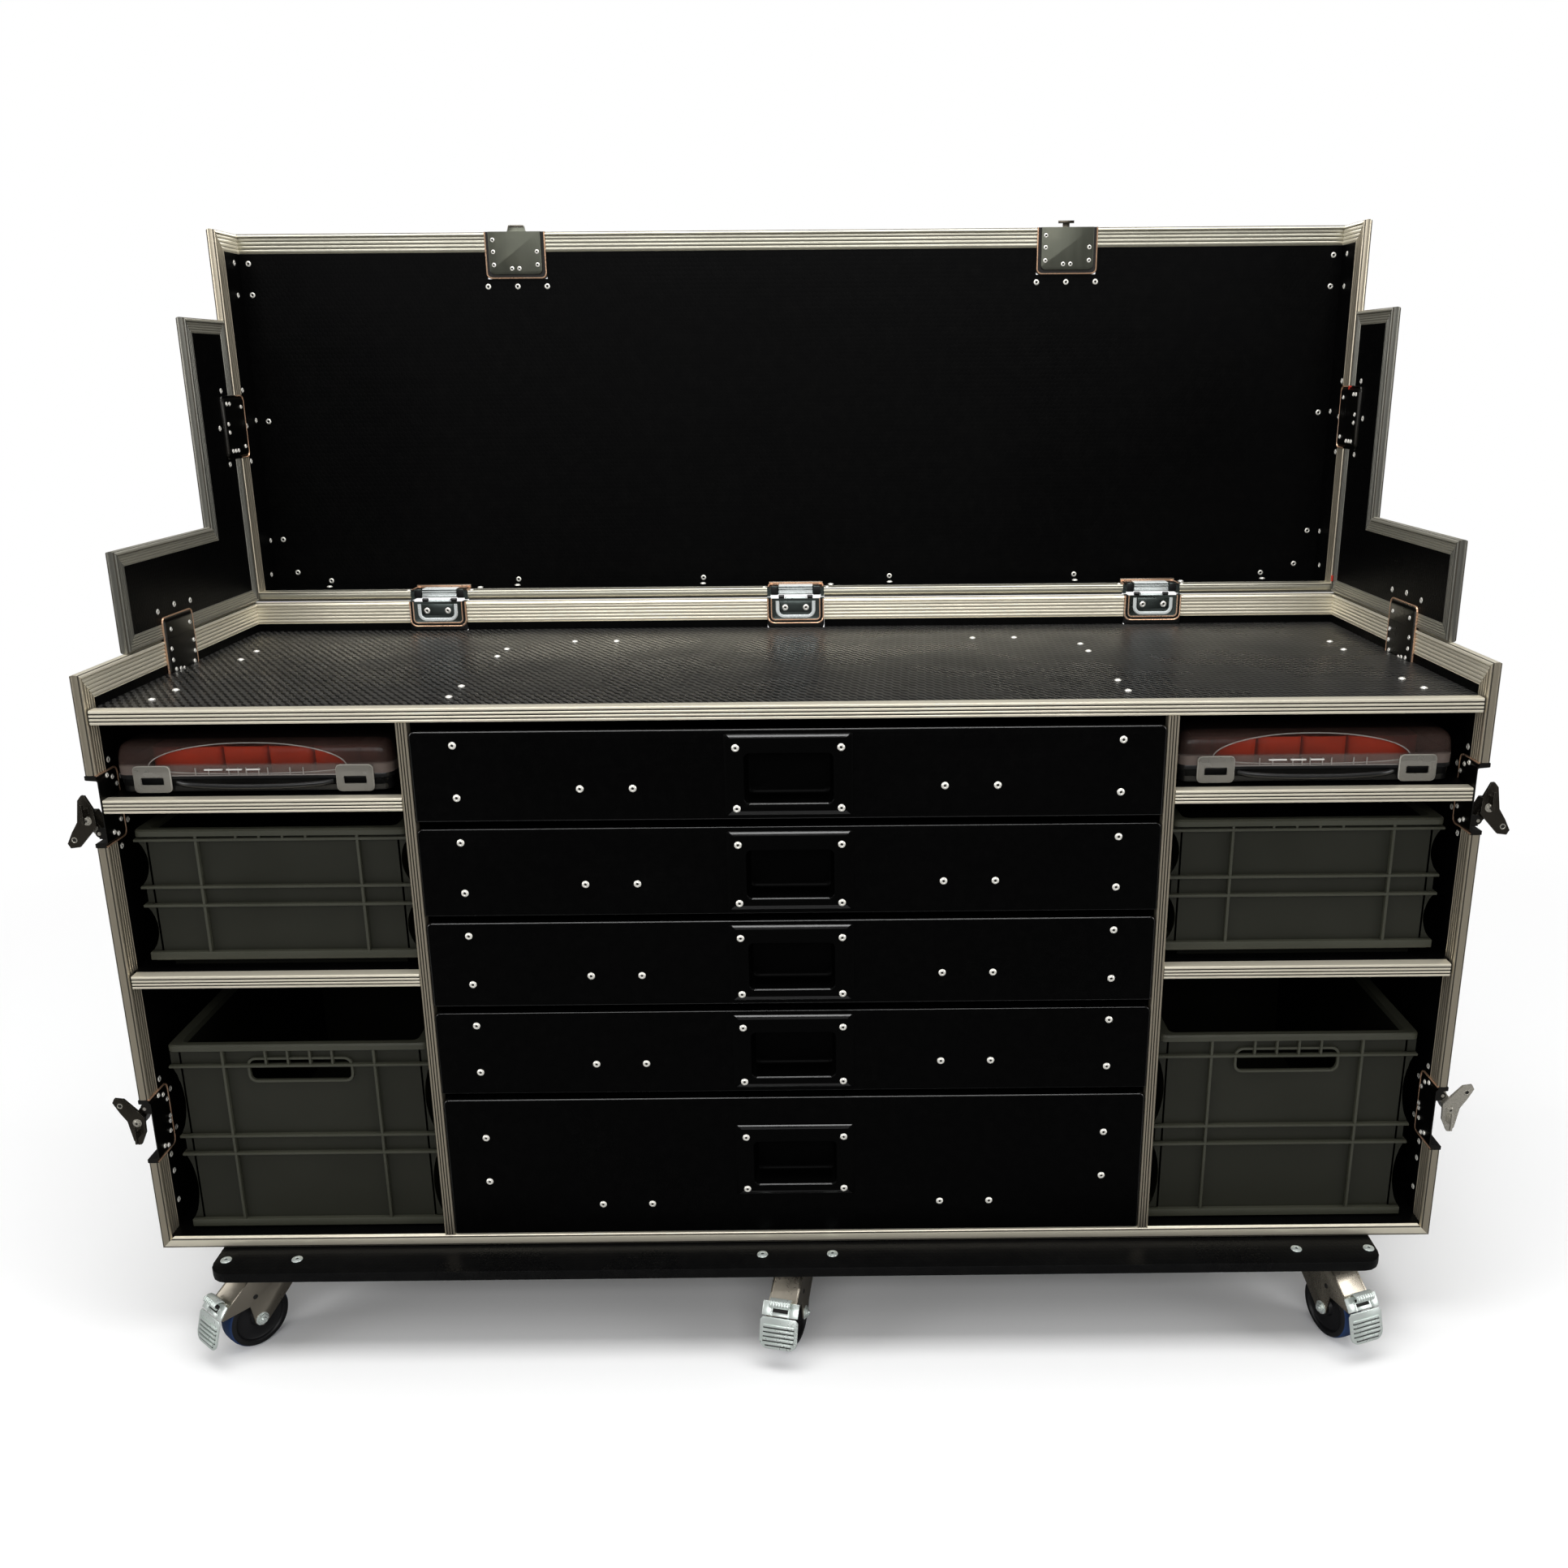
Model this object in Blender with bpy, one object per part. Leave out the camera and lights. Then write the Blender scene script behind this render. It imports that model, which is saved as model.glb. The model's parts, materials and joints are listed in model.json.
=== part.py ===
"""Wheeled workstation flight case: a base with drawers and crates under a worktop,
a hinged back lid standing open, and two lift-off side wings.

Metres, +Z up, front towards -Y. The pieces are laid out in the cabinet's own frame: x from
the middle, y back from the front opening, z up from the underside of the base.
The empty "case" stands that frame on its castors, over the origin.
"""
import math

import bmesh
import bpy
import numpy as np
from mathutils import Matrix, Vector

# Clearances
GAP = 0.0003                # between pieces that touch
RUNNING_GAP = 0.0015        # beside a piece that slides or turns

# Cabinet
HALF_WIDTH = 1.000          # middle to the outer face of a side wall
DEPTH = 0.652               # front opening to the outer face of the rear wall
HEIGHT = 0.9185             # underside to the top of the rim
BOARD = 0.011               # laminated birch board of the walls
LEG = 0.002                 # wall of the aluminium edge profile
NOSE_WIDTH = 0.020          # rounded front of the edge profile
NOSE_DEPTH = 0.006
PROFILE_LEG = 0.034         # how far an edge profile reaches over its board
RIM_LEG = 0.0425            # the same on the rim
ANGLE = 0.030               # outside corner angles
WALL = 2 * LEG + BOARD
INSIDE = HALF_WIDTH - WALL

# Worktop, dividers and shelves
WORKTOP_DROP = 0.0471       # worktop below the rim
WORKTOP_BOARD = 0.017
TRIM_LEG = 0.0021           # wall of the slim trim on the boards' front edges
TRIM_DEPTH = 0.018
SIDE_BAY = 0.4546           # middle of a divider from the wall's outer face
DIVIDER_BOARD = 0.012
SHELF_BOARD = 0.016
PARTS_BAY = 0.1316          # upper shelf below the worktop
CRATE_BAY = 0.2734          # lower shelf below the upper one
WORKTOP_TOP = HEIGHT - WORKTOP_DROP
UPPER_SHELF_TOP = WORKTOP_TOP - PARTS_BAY
LOWER_SHELF_TOP = UPPER_SHELF_TOP - CRATE_BAY
DIVIDER_X = HALF_WIDTH - SIDE_BAY
BOARD_SETBACK = 0.004       # front edge of a board inside its trim

# Drawers
DRAWER_FRONT = 0.018
DRAWER_FRONT_HEIGHT = 0.1335
DRAWER_PITCH = 0.1450
DRAWER_DROP = 0.0349        # top of the first front below the worktop
DRAWER_TOP = WORKTOP_TOP - DRAWER_DROP
DEEP_FRONT_BOTTOM = 0.0225
DEEP_FRONT_TOP = DRAWER_TOP - 4 * DRAWER_PITCH
DRAWER_DEPTH = 0.530
DRAWER_WALL = 0.012
DRAWER_FLOOR = 0.006
DRAWER_RISE = 0.012         # box floor above the bottom of its front
DRAWER_SIDE_DROP = 0.025    # box wall below the top of its front
RUNNER_WIDTH = 0.022
RUNNER_RISE = 0.015         # runner above the box floor
RUNNER_HEIGHT = 0.035
CORNER_RADIUS = 0.008
RUNNER_FACE = DIVIDER_X - DIVIDER_BOARD / 2 - TRIM_LEG - GAP

# Recessed pulls
PULL_WIDTH = 0.183
PULL_HEIGHT = 0.121
PULL_PLATE = 0.0030
PULL_POCKET_WIDTH = 0.128
PULL_POCKET_HEIGHT = 0.074
PULL_POCKET_DEPTH = 0.038
PULL_SHEET = 0.0015
PULL_DROP = 0.0055          # pocket below the middle of the plate
DEEP_PULL_RISE = 0.010      # plate above the middle of the deep front

# Stacking crates and small-parts boxes
CRATE_INSET = 0.241         # middle of a crate from the wall's outer face
CRATE_X = HALF_WIDTH - CRATE_INSET
CRATE_WIDTH = 0.400
CRATE_DEPTH = 0.598
CRATE_SETBACK = 0.025
UPPER_CRATE_HEIGHT = 0.220
LOWER_CRATE_HEIGHT = 0.320
CRATE_WALL = 0.003
CRATE_RIB = 0.008
CRATE_BAND = 0.004
HAND_HOLE_WIDTH = 0.150
HAND_HOLE_HEIGHT = 0.036
HAND_HOLE_DROP = 0.044      # middle of the hole below the crate's rim
BOX_INSETS = {"left": 0.228, "right": 0.2375}  # middle of a small-parts box from the wall's outer face
BOX_WIDTH = 0.398
BOX_DEPTH = 0.310
BOX_SETBACK = 0.030
BOX_TRAY_HEIGHT = 0.0285
BOX_LID_HEIGHT = 0.0475
BOX_SHOULDER = 0.006        # lid's rounded shoulder, drawn as one step
BOX_WALL = 0.0025
CLASP_WIDTH = 0.054
CLASP_HEIGHT = 0.040
CLASP_X = 0.146             # clasp from the middle of its box

# Lid, standing open on the rear edge of the rim
LID_DEPTH = 0.113
LID_HEIGHT = 0.644
HINGE_INSET = 0.345         # outer hinges from the side walls
HINGE_X = HALF_WIDTH - HINGE_INSET
HINGE_WIDTH = 0.104
HINGE_DROP = 0.058          # hinge dish below the rim
HINGE_LID_REACH = 0.040
KNUCKLE_RADIUS = 0.0035
DISH_PROUD = 0.004          # dish back stands out of the wall's inner face
DISH_SHEET = 0.0015

# Side wings, stepped boards between the lid and the rim
WING_LOW_FRONT = 0.150
WING_HIGH_FRONT = 0.489
WING_STEP_RISE = 0.1562     # step above the rim
WING_RISE = 0.4953          # top above the rim
WING_STEP_Z = HEIGHT + WING_STEP_RISE
WING_TOP_Z = HEIGHT + WING_RISE

# Butterfly latches and their dishes
LATCH_DISH = 0.108
LATCH_DISH_DEPTH = 0.062    # latch half, back from the seam
KEEPER_DISH_DEPTH = 0.035   # keeper half
UPPER_LATCH_DROP = 0.2500   # lower end of the upper dish below the rim
UPPER_LATCH_Z = HEIGHT - UPPER_LATCH_DROP
LOWER_LATCH_Z = 0.1539
TOP_LATCH_INSET = 0.507
TOP_LATCH_X = HALF_WIDTH - TOP_LATCH_INSET
TOP_LATCH_DEPTH = 0.079
WING_LATCH_RISE = 0.3155    # between wing and lid, above the rim
WING_LATCH_Z = HEIGHT + WING_LATCH_RISE
RIM_LATCH_Y = 0.318         # between wing and rim
PIN_RADIUS = 0.0027
PIN_END = 0.019             # pin from the end of its dish
PIN_INSET = 0.003           # pin inside the wall's outer face
EAR = 0.0025
EAR_START = 0.0085          # first ear from the seam
EAR_HALF = 0.009
EAR_ROOT = WALL + DISH_PROUD - PIN_INSET - DISH_SHEET / 2
EYE_RADIUS = 0.0075
LATCH_BODY = 0.024          # length of the latch's eye

# Castors and their board
CASTOR_HEIGHT = 0.140
WHEEL_RADIUS = 0.050
WHEEL_WIDTH = 0.036
TRAIL = 0.040
CASTOR_BOARD = 0.015
CASTOR_BOARD_FRONT = -0.066
CASTOR_BOARD_BACK = 0.640
CASTOR_BOARD_INSET = 0.095  # board's end from the side wall
CASTOR_BOARD_HALF = HALF_WIDTH - CASTOR_BOARD_INSET
CASTOR_BOARD_RADIUS = 0.030
CASTOR_INSET = 0.070        # castor from the board's end
CASTOR_X = CASTOR_BOARD_HALF - CASTOR_INSET
FRONT_CASTOR_Y = 0.013
REAR_CASTOR_Y = 0.561
PLATE_X = 0.135
PLATE_Y = 0.105
PLATE = 0.004
CROWN_RADIUS = 0.034
CROWN = 0.010
FORK_SHEET = 0.003
AXLE_RADIUS = 0.006
PEDAL_REACH = 0.105         # pedal pivot from the swivel axis
PEDAL_DROP = 0.055          # and below the castor board
CASTOR_BASE = CASTOR_HEIGHT + CASTOR_BOARD + GAP

PEDAL_TOE = 0.017           # pedal tip beyond its pivot
PEDAL_HALF = WHEEL_WIDTH / 2 + 0.004
CENTRE_HEADING = math.radians(256)  # of the front middle castor, which reaches furthest forward
LATCH_REACH = 0.0452        # tip of an open latch beyond its pin

# Measured over everything: the front pedal's tip and the open latches behind the lid
FRONT_END = (FRONT_CASTOR_Y + (PEDAL_REACH + RUNNING_GAP + PEDAL_TOE) * math.sin(CENTRE_HEADING)
             - PEDAL_HALF * abs(math.cos(CENTRE_HEADING)))
REAR_END = DEPTH + GAP + LID_DEPTH - PIN_INSET + LATCH_REACH
MID_DEPTH = (FRONT_END + REAR_END) / 2

SIDES = {"left": -1, "right": 1}


def material(name, colour, roughness, metallic=0.0):
    """A Principled material."""
    made = bpy.data.materials.new(name)
    made.use_nodes = True
    shader = made.node_tree.nodes["Principled BSDF"]
    shader.inputs["Base Color"].default_value = (*colour, 1.0)
    shader.inputs["Roughness"].default_value = roughness
    shader.inputs["Metallic"].default_value = metallic
    made.diffuse_color = (*colour, 1.0)
    return made


def mesh_from(bm):
    """A mesh with its faces pointing out and its corners on a micrometre grid.

    Shapes that share a plane then share it exactly.
    """
    for corner in bm.verts:
        corner.co = [round(value, 6) for value in corner.co]
    bmesh.ops.recalc_face_normals(bm, faces=bm.faces)
    mesh = bpy.data.meshes.new("shape")
    bm.to_mesh(mesh)
    bm.free()
    return mesh


def box(low, high):
    """A box between two opposite corners, given in any order."""
    bm = bmesh.new()
    made = bmesh.ops.create_cube(bm, size=1.0)
    size = [abs(b - a) for a, b in zip(low, high)]
    middle = [(a + b) / 2 for a, b in zip(low, high)]
    bmesh.ops.scale(bm, vec=size, verts=made["verts"])
    bmesh.ops.translate(bm, vec=middle, verts=made["verts"])
    return mesh_from(bm)


def prism(outline, axis, low, high):
    """An outline in the plane across axis, extruded from low to high along it.

    The outline's two coordinates are the other two axes, in the order x, y, z.
    """
    bm = bmesh.new()
    corners = []
    for first, second in outline:
        point = [first, second]
        point.insert("xyz".index(axis), low)
        corners.append(bm.verts.new(point))
    face = bm.faces.new(corners)
    raised = bmesh.ops.extrude_face_region(bm, geom=[face])
    shift = [0.0, 0.0, 0.0]
    shift["xyz".index(axis)] = high - low
    moved = [item for item in raised["geom"] if isinstance(item, bmesh.types.BMVert)]
    bmesh.ops.translate(bm, vec=shift, verts=moved)
    return mesh_from(bm)


def rod(start, end, radius, sides=16):
    """A round bar from start to end, with a corner straight below its axis."""
    start, end = Vector(start), Vector(end)
    along = end - start
    turn = Vector((0, 0, 1)).rotation_difference(along).to_matrix().to_4x4()
    bm = bmesh.new()
    bmesh.ops.create_cone(bm, cap_ends=True, segments=sides, radius1=radius, radius2=radius,
                          depth=along.length, matrix=Matrix.Translation((start + end) / 2) @ turn)
    return mesh_from(bm)


def rounded(low, high, radius, corners=(True, True, True, True), steps=4):
    """A rectangle's outline from low to high; corners are rounded from low, low round anticlockwise."""
    (x0, y0), (x1, y1) = low, high
    centres = [(x0 + radius, y0 + radius), (x1 - radius, y0 + radius),
               (x1 - radius, y1 - radius), (x0 + radius, y1 - radius)]
    square = [(x0, y0), (x1, y0), (x1, y1), (x0, y1)]
    outline = []
    for index, (cx, cy) in enumerate(centres):
        if not corners[index]:
            outline.append(square[index])
            continue
        for step in range(steps + 1):
            angle = math.pi + (index + step / steps) * math.pi / 2
            outline.append((cx + radius * math.cos(angle), cy + radius * math.sin(angle)))
    return outline


def blocks(*steps):
    """One body from boxes laid down or cut away in turn.

    Each step is True or False, for solid or empty, and the boxes it holds for.
    """
    spans = [(solid, *[[round(value, 6) for value in corner] for corner in (low, high)])
             for solid, pairs in steps for low, high in pairs]
    planes = [sorted({corner[axis] for solid, *corners in spans for corner in corners}) for axis in range(3)]
    filled = np.zeros([len(cuts) + 1 for cuts in planes], dtype=bool)
    for solid, low, high in spans:
        first = [planes[axis].index(min(low[axis], high[axis])) + 1 for axis in range(3)]
        last = [planes[axis].index(max(low[axis], high[axis])) + 1 for axis in range(3)]
        filled[first[0]:last[0], first[1]:last[1], first[2]:last[2]] = solid
    bm = bmesh.new()
    corners = {}
    for axis in range(3):
        turned = np.moveaxis(filled, axis, 0)
        for place, second, third in np.argwhere(turned[:-1] != turned[1:]):
            face = []
            for back, down in ((1, 1), (0, 1), (0, 0), (1, 0)):
                index = [int(second) - back, int(third) - down]
                index.insert(axis, int(place))
                key = tuple(index)
                if key not in corners:
                    corners[key] = bm.verts.new([planes[way][key[way]] for way in range(3)])
                face.append(corners[key])
            bm.faces.new(face)
    return mesh_from(bm)


def stage_shape(mesh):
    """A mesh as an object in the scene, for the Boolean modifiers."""
    shape = bpy.data.objects.new("shape", mesh)
    bpy.context.scene.collection.objects.link(shape)
    return shape


def combine(mesh, other, operation):
    """One Boolean step between two meshes, as a new mesh."""
    body, tool = stage_shape(mesh), stage_shape(other)
    step = body.modifiers.new(operation, "BOOLEAN")
    step.operation = operation
    step.solver = "EXACT"
    step.object = tool
    depsgraph = bpy.context.evaluated_depsgraph_get()
    result = bpy.data.meshes.new_from_object(body.evaluated_get(depsgraph))
    for shape in (body, tool):
        bpy.data.objects.remove(shape)
    return result


def fuse(shapes, cuts=()):
    """The union of the shapes, less the cuts, as one mesh."""
    body = shapes[0]
    for mesh in shapes[1:]:
        body = combine(body, mesh, "UNION")
    for mesh in cuts:
        body = combine(body, mesh, "DIFFERENCE")
    return body


def flattened(mesh):
    """The mesh with the edges inside its flat faces taken out."""
    bm = bmesh.new()
    bm.from_mesh(mesh)
    bmesh.ops.remove_doubles(bm, verts=bm.verts, dist=0.000002)
    for turn in range(4):
        bmesh.ops.dissolve_limit(bm, angle_limit=0.0005, verts=bm.verts, edges=bm.edges)
    result = bpy.data.meshes.new("shape")
    bm.to_mesh(result)
    bm.free()
    return result


def piece(name, mesh, finish, origin=(0, 0, 0), parent=None, turn=0.0, smooth=False):
    """A named sub-part: its mesh is given about the parent's frame and keeps its place.

    The origin becomes the object's own, and turn then rotates it about its vertical axis.
    """
    mesh = flattened(mesh)
    mesh.name = name
    mesh.transform(Matrix.Translation(-Vector(origin)))
    mesh.materials.clear()
    mesh.materials.append(finish)
    if smooth:
        mesh.shade_smooth()
        mesh.set_sharp_from_angle(angle=math.radians(35))
    made = bpy.data.objects.new(name, mesh)
    made.location = origin
    made.rotation_euler.z = turn
    made.parent = parent
    bpy.context.scene.collection.objects.link(made)
    return made


def empty(name, location, parent=None):
    """A frame for other objects to be placed in."""
    made = bpy.data.objects.new(name, None)
    made.location = location
    made.parent = parent
    made.empty_display_size = 0.05
    bpy.context.scene.collection.objects.link(made)
    return made


def grown(low, high, by=GAP):
    """The corners of a box a little larger than the one between low and high, to cut room for it."""
    bounds = [sorted(pair) for pair in zip(low, high)]
    return [a - by for a, b in bounds], [b + by for a, b in bounds]


# The walls of the base, as pairs of corners that the boards and their profiles share
RIM_UNDER = HEIGHT - NOSE_DEPTH
BASE_FLOOR = NOSE_WIDTH + GAP
BASE_BOARD = ((-HALF_WIDTH + LEG, NOSE_DEPTH + GAP, LEG), (HALF_WIDTH - LEG, DEPTH - LEG, NOSE_WIDTH))
REAR_BOARD = ((-HALF_WIDTH + LEG, DEPTH - LEG - BOARD, BASE_FLOOR),
              (HALF_WIDTH - LEG, DEPTH - LEG, RIM_UNDER - GAP))
REAR_FACE = DEPTH - LEG - BOARD - GAP


def side_board_box(side):
    return ((side * (INSIDE + LEG), NOSE_DEPTH + GAP, BASE_FLOOR),
            (side * (HALF_WIDTH - LEG), REAR_FACE, RIM_UNDER - GAP))


def dish_pocket(side, z_low):
    """The latch dish at the front edge of a side wall: its sheet, and the hollow inside it."""
    back = side * (INSIDE - DISH_PROUD)
    sheet = ((back, 0.0, z_low), (side * (HALF_WIDTH - LEG / 2), LATCH_DISH_DEPTH, z_low + LATCH_DISH))
    hollow = ((back + side * DISH_SHEET, -0.01, z_low + DISH_SHEET),
              (side * (HALF_WIDTH + 0.01), LATCH_DISH_DEPTH - DISH_SHEET, z_low + LATCH_DISH - DISH_SHEET))
    return sheet, hollow


def rim_dish_pocket(side):
    """The latch dish under the rim, for the wing that stands on it."""
    back = side * (INSIDE - DISH_PROUD)
    low_y, high_y = RIM_LATCH_Y - LATCH_DISH / 2, RIM_LATCH_Y + LATCH_DISH / 2
    low_z = HEIGHT - LATCH_DISH_DEPTH
    sheet = ((back, low_y, low_z), (side * (HALF_WIDTH - LEG / 2), high_y, HEIGHT))
    hollow = ((back + side * DISH_SHEET, low_y + DISH_SHEET, low_z + DISH_SHEET),
              (side * (HALF_WIDTH + 0.01), high_y - DISH_SHEET, HEIGHT + 0.01))
    return sheet, hollow


def hinge_pocket(x):
    """The hinge dish at the top of the rear wall, open to the rear and the top."""
    back = DEPTH - WALL - DISH_PROUD
    low_z = HEIGHT - HINGE_DROP
    sheet = ((x - HINGE_WIDTH / 2, back, low_z), (x + HINGE_WIDTH / 2, DEPTH - LEG / 2, HEIGHT))
    hollow = ((x - HINGE_WIDTH / 2 + DISH_SHEET, back + DISH_SHEET, low_z + DISH_SHEET),
              (x + HINGE_WIDTH / 2 - DISH_SHEET, DEPTH + 0.01, HEIGHT + 0.01))
    return sheet, hollow


def base_pockets():
    """Every dish in the walls of the base."""
    pockets = [hinge_pocket(x) for x in (-HINGE_X, 0.0, HINGE_X)]
    for side in SIDES.values():
        pockets += [dish_pocket(side, UPPER_LATCH_Z), dish_pocket(side, LOWER_LATCH_Z)]
        pockets.append(rim_dish_pocket(side))
    return pockets


def room_for(pockets):
    """The boxes to cut out of a board where dishes are let into it."""
    return [grown(*sheet) for sheet, hollow in pockets]


def fitted(side, inner_low, high):
    """The boxes of a level board that meets a side wall, stepped round its front profile."""
    inner, low = inner_low
    behind = PROFILE_LEG + GAP
    return [((side * inner, BOARD_SETBACK, low), (side * (INSIDE - GAP), behind, high)),
            ((side * inner, behind, low), (side * (INSIDE + LEG - GAP), REAR_FACE, high))]


def runner_span(bottom):
    """Lower and upper edge of the runner of a drawer whose front starts at bottom."""
    low = bottom + DRAWER_RISE + RUNNER_RISE
    return low, low + RUNNER_HEIGHT


def carcass(finish, parent):
    """The boards of the base."""
    hinge_room = room_for(base_pockets()[:3])
    latch_room = room_for(base_pockets()[3:])
    latch_room += [grown((side * (HALF_WIDTH - NOSE_WIDTH), 0.0, 0.0), (side * HALF_WIDTH, NOSE_DEPTH, HEIGHT))
                   for side in SIDES.values()]
    piece("base_board", box(*BASE_BOARD), finish, parent=parent)
    piece("rear_board", blocks((True, [REAR_BOARD]), (False, hinge_room)), finish, parent=parent)
    top = WORKTOP_TOP - TRIM_LEG
    under = top - WORKTOP_BOARD
    worktop = fitted(-1, (0.0, under), top) + fitted(1, (0.0, under), top)
    piece("worktop", blocks((True, worktop), (False, hinge_room + latch_room)), finish, parent=parent)
    for name, side in SIDES.items():
        board = blocks((True, [side_board_box(side)]), (False, latch_room))
        piece(f"side_board_{name}", board, finish, parent=parent)
        inner = side * (DIVIDER_X - DIVIDER_BOARD / 2)
        outer = side * (DIVIDER_X + DIVIDER_BOARD / 2)
        divider = [((inner, BOARD_SETBACK, BASE_FLOOR), (outer, REAR_FACE, under - GAP))]
        for bottom, front_top, pull_z in drawer_spans():
            low, high = runner_span(bottom)
            divider.append(((side * (RUNNER_FACE + GAP), TRIM_DEPTH + GAP, low), (inner, DRAWER_DEPTH, high)))
        piece(f"divider_{name}", blocks((True, divider)), finish, parent=parent)
        for level, shelf_top in (("upper", UPPER_SHELF_TOP), ("lower", LOWER_SHELF_TOP)):
            shelf = fitted(side, (abs(outer) + GAP, shelf_top - TRIM_LEG - SHELF_BOARD), shelf_top)
            rebate = grown((-INSIDE, 0.0, shelf_top - TRIM_LEG), (INSIDE, TRIM_DEPTH, shelf_top))
            piece(f"shelf_{name}_{level}", blocks((True, shelf), (False, latch_room + [rebate])),
                  finish, parent=parent)


def ears(seam_point, out, along):
    """The two ears and their pin holes that carry a side latch in its dish.

    seam_point is the pin's place on the seam plane, out points away from the wall and
    along runs from the pin towards the middle of the dish. The seam faces -Y.
    """
    x, y, z = seam_point
    shapes = []
    holes = []
    for start in (EAR_START, EAR_START + EAR + 2 * GAP + LATCH_BODY):
        shapes.append(((x - out * EAR_ROOT, y + start, z - along * EAR_HALF),
                       (x + out * 0.004, y + start + EAR, z + along * EAR_HALF)))
    holes.append(rod((x, y + 0.007, z), (x, y + 0.045, z), PIN_RADIUS + GAP, 12))
    return shapes, holes


def base_frame(finish, parent):
    """Aluminium edge profiles and corner angles of the base, with the steel dishes in them."""
    profiles = []
    for side in SIDES.values():
        outer = side * HALF_WIDTH
        inner = side * INSIDE
        nose = side * (HALF_WIDTH - NOSE_WIDTH)
        skin = outer - side * LEG
        flange = outer - side * ANGLE
        profiles += [((inner, 0.0, HEIGHT - RIM_LEG), (outer, DEPTH, HEIGHT)),
                     ((nose, 0.0, RIM_UNDER), (outer, DEPTH, HEIGHT)),
                     ((inner, 0.0, 0.0), (outer, PROFILE_LEG, HEIGHT)),
                     ((nose, 0.0, 0.0), (outer, NOSE_DEPTH, HEIGHT)),
                     ((outer, 0.0, 0.0), (skin, DEPTH, ANGLE)),
                     ((outer, 0.0, 0.0), (flange, DEPTH, LEG)),
                     ((outer, DEPTH - ANGLE, 0.0), (skin, DEPTH, HEIGHT)),
                     ((outer, DEPTH - LEG, 0.0), (flange, DEPTH, HEIGHT))]
    left, right = -HALF_WIDTH, HALF_WIDTH
    profiles += [((left, 0.0, 0.0), (right, PROFILE_LEG, WALL)),
                 ((left, 0.0, 0.0), (right, NOSE_DEPTH, NOSE_WIDTH)),
                 ((left, DEPTH - WALL, HEIGHT - RIM_LEG), (right, DEPTH, HEIGHT)),
                 ((left, DEPTH - NOSE_WIDTH, RIM_UNDER), (right, DEPTH, HEIGHT)),
                 ((left, DEPTH - LEG, 0.0), (right, DEPTH, ANGLE)),
                 ((left, DEPTH - ANGLE, 0.0), (right, DEPTH, LEG))]
    boards = [grown(*BASE_BOARD), grown(*REAR_BOARD)]
    boards += [grown(*side_board_box(side)) for side in SIDES.values()]
    fittings = []
    holes = []
    for side in SIDES.values():
        x = side * (HALF_WIDTH - PIN_INSET)
        for z, along in ((UPPER_LATCH_Z + PIN_END, 1), (LOWER_LATCH_Z + LATCH_DISH - PIN_END, -1)):
            pair, pin_holes = ears((x, 0.0, z), side, along)
            fittings += pair
            holes += pin_holes
    knuckles = []
    for x in (-HINGE_X, 0.0, HINGE_X):
        leaf, knuckle = hinge_leaf(x)
        fittings += leaf
        knuckles.append(knuckle)
    frame = blocks((True, profiles), (False, boards), (True, [sheet for sheet, hollow in base_pockets()]),
                   (False, [hollow for sheet, hollow in base_pockets()]), (True, fittings))
    piece("base_frame", fuse([frame] + knuckles, holes), finish, parent=parent)


def hinge_leaf(x):
    """The boxes of a hinge's leaf in its dish, and its knuckle on the lid's axis."""
    back = DEPTH - WALL - DISH_PROUD
    half = HINGE_WIDTH * 0.19
    axis_y, axis_z = DEPTH + GAP, HEIGHT + GAP
    leaf = [((x - half, back, HEIGHT - HINGE_DROP * 0.7), (x + half, back + 0.004, HEIGHT - 0.004)),
            ((x - half, back, HEIGHT - 0.008), (x + half, axis_y, HEIGHT - 0.004)),
            ((x - half, axis_y - KNUCKLE_RADIUS, HEIGHT - 0.008), (x + half, axis_y, HEIGHT))]
    return leaf, rod((x - half, axis_y, axis_z), (x + half, axis_y, axis_z), KNUCKLE_RADIUS, 12)


def bay_trim(finish, parent):
    """Slim trim on the front edges of the worktop, the dividers and the shelves."""
    end = HALF_WIDTH - NOSE_WIDTH - GAP
    under = WORKTOP_TOP - TRIM_LEG - WORKTOP_BOARD
    trims = [((-end, 0.0, under - TRIM_LEG), (end, TRIM_DEPTH, WORKTOP_TOP))]
    boards = [grown((-INSIDE, BOARD_SETBACK, under), (INSIDE, DEPTH, WORKTOP_TOP - TRIM_LEG))]
    for side in SIDES.values():
        inner = side * (DIVIDER_X - DIVIDER_BOARD / 2)
        outer = side * (DIVIDER_X + DIVIDER_BOARD / 2)
        trims.append(((inner - side * TRIM_LEG, 0.0, NOSE_WIDTH + GAP), (outer + side * TRIM_LEG, TRIM_DEPTH, under)))
        boards.append(grown((inner, BOARD_SETBACK, BASE_FLOOR), (outer, DEPTH, under - GAP)))
        for shelf_top in (UPPER_SHELF_TOP, LOWER_SHELF_TOP):
            low = shelf_top - 2 * TRIM_LEG - SHELF_BOARD
            trims.append(((outer, 0.0, low), (side * end, TRIM_DEPTH, shelf_top)))
            boards.append(grown((outer + side * GAP, BOARD_SETBACK, low + TRIM_LEG),
                                (side * INSIDE, DEPTH, shelf_top - TRIM_LEG)))
    boards += room_for(base_pockets()[3:])
    piece("bay_trim", blocks((True, trims), (False, boards)), finish, parent=parent)


def drawer_spans():
    """Bottom, top and pull height of each drawer front, from the top down."""
    spans = []
    for index in range(4):
        top = DRAWER_TOP - index * DRAWER_PITCH
        spans.append((top - DRAWER_FRONT_HEIGHT, top, top - DRAWER_FRONT_HEIGHT / 2))
    middle = (DEEP_FRONT_BOTTOM + DEEP_FRONT_TOP) / 2
    spans.append((DEEP_FRONT_BOTTOM, DEEP_FRONT_TOP, middle + DEEP_PULL_RISE))
    return spans


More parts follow.
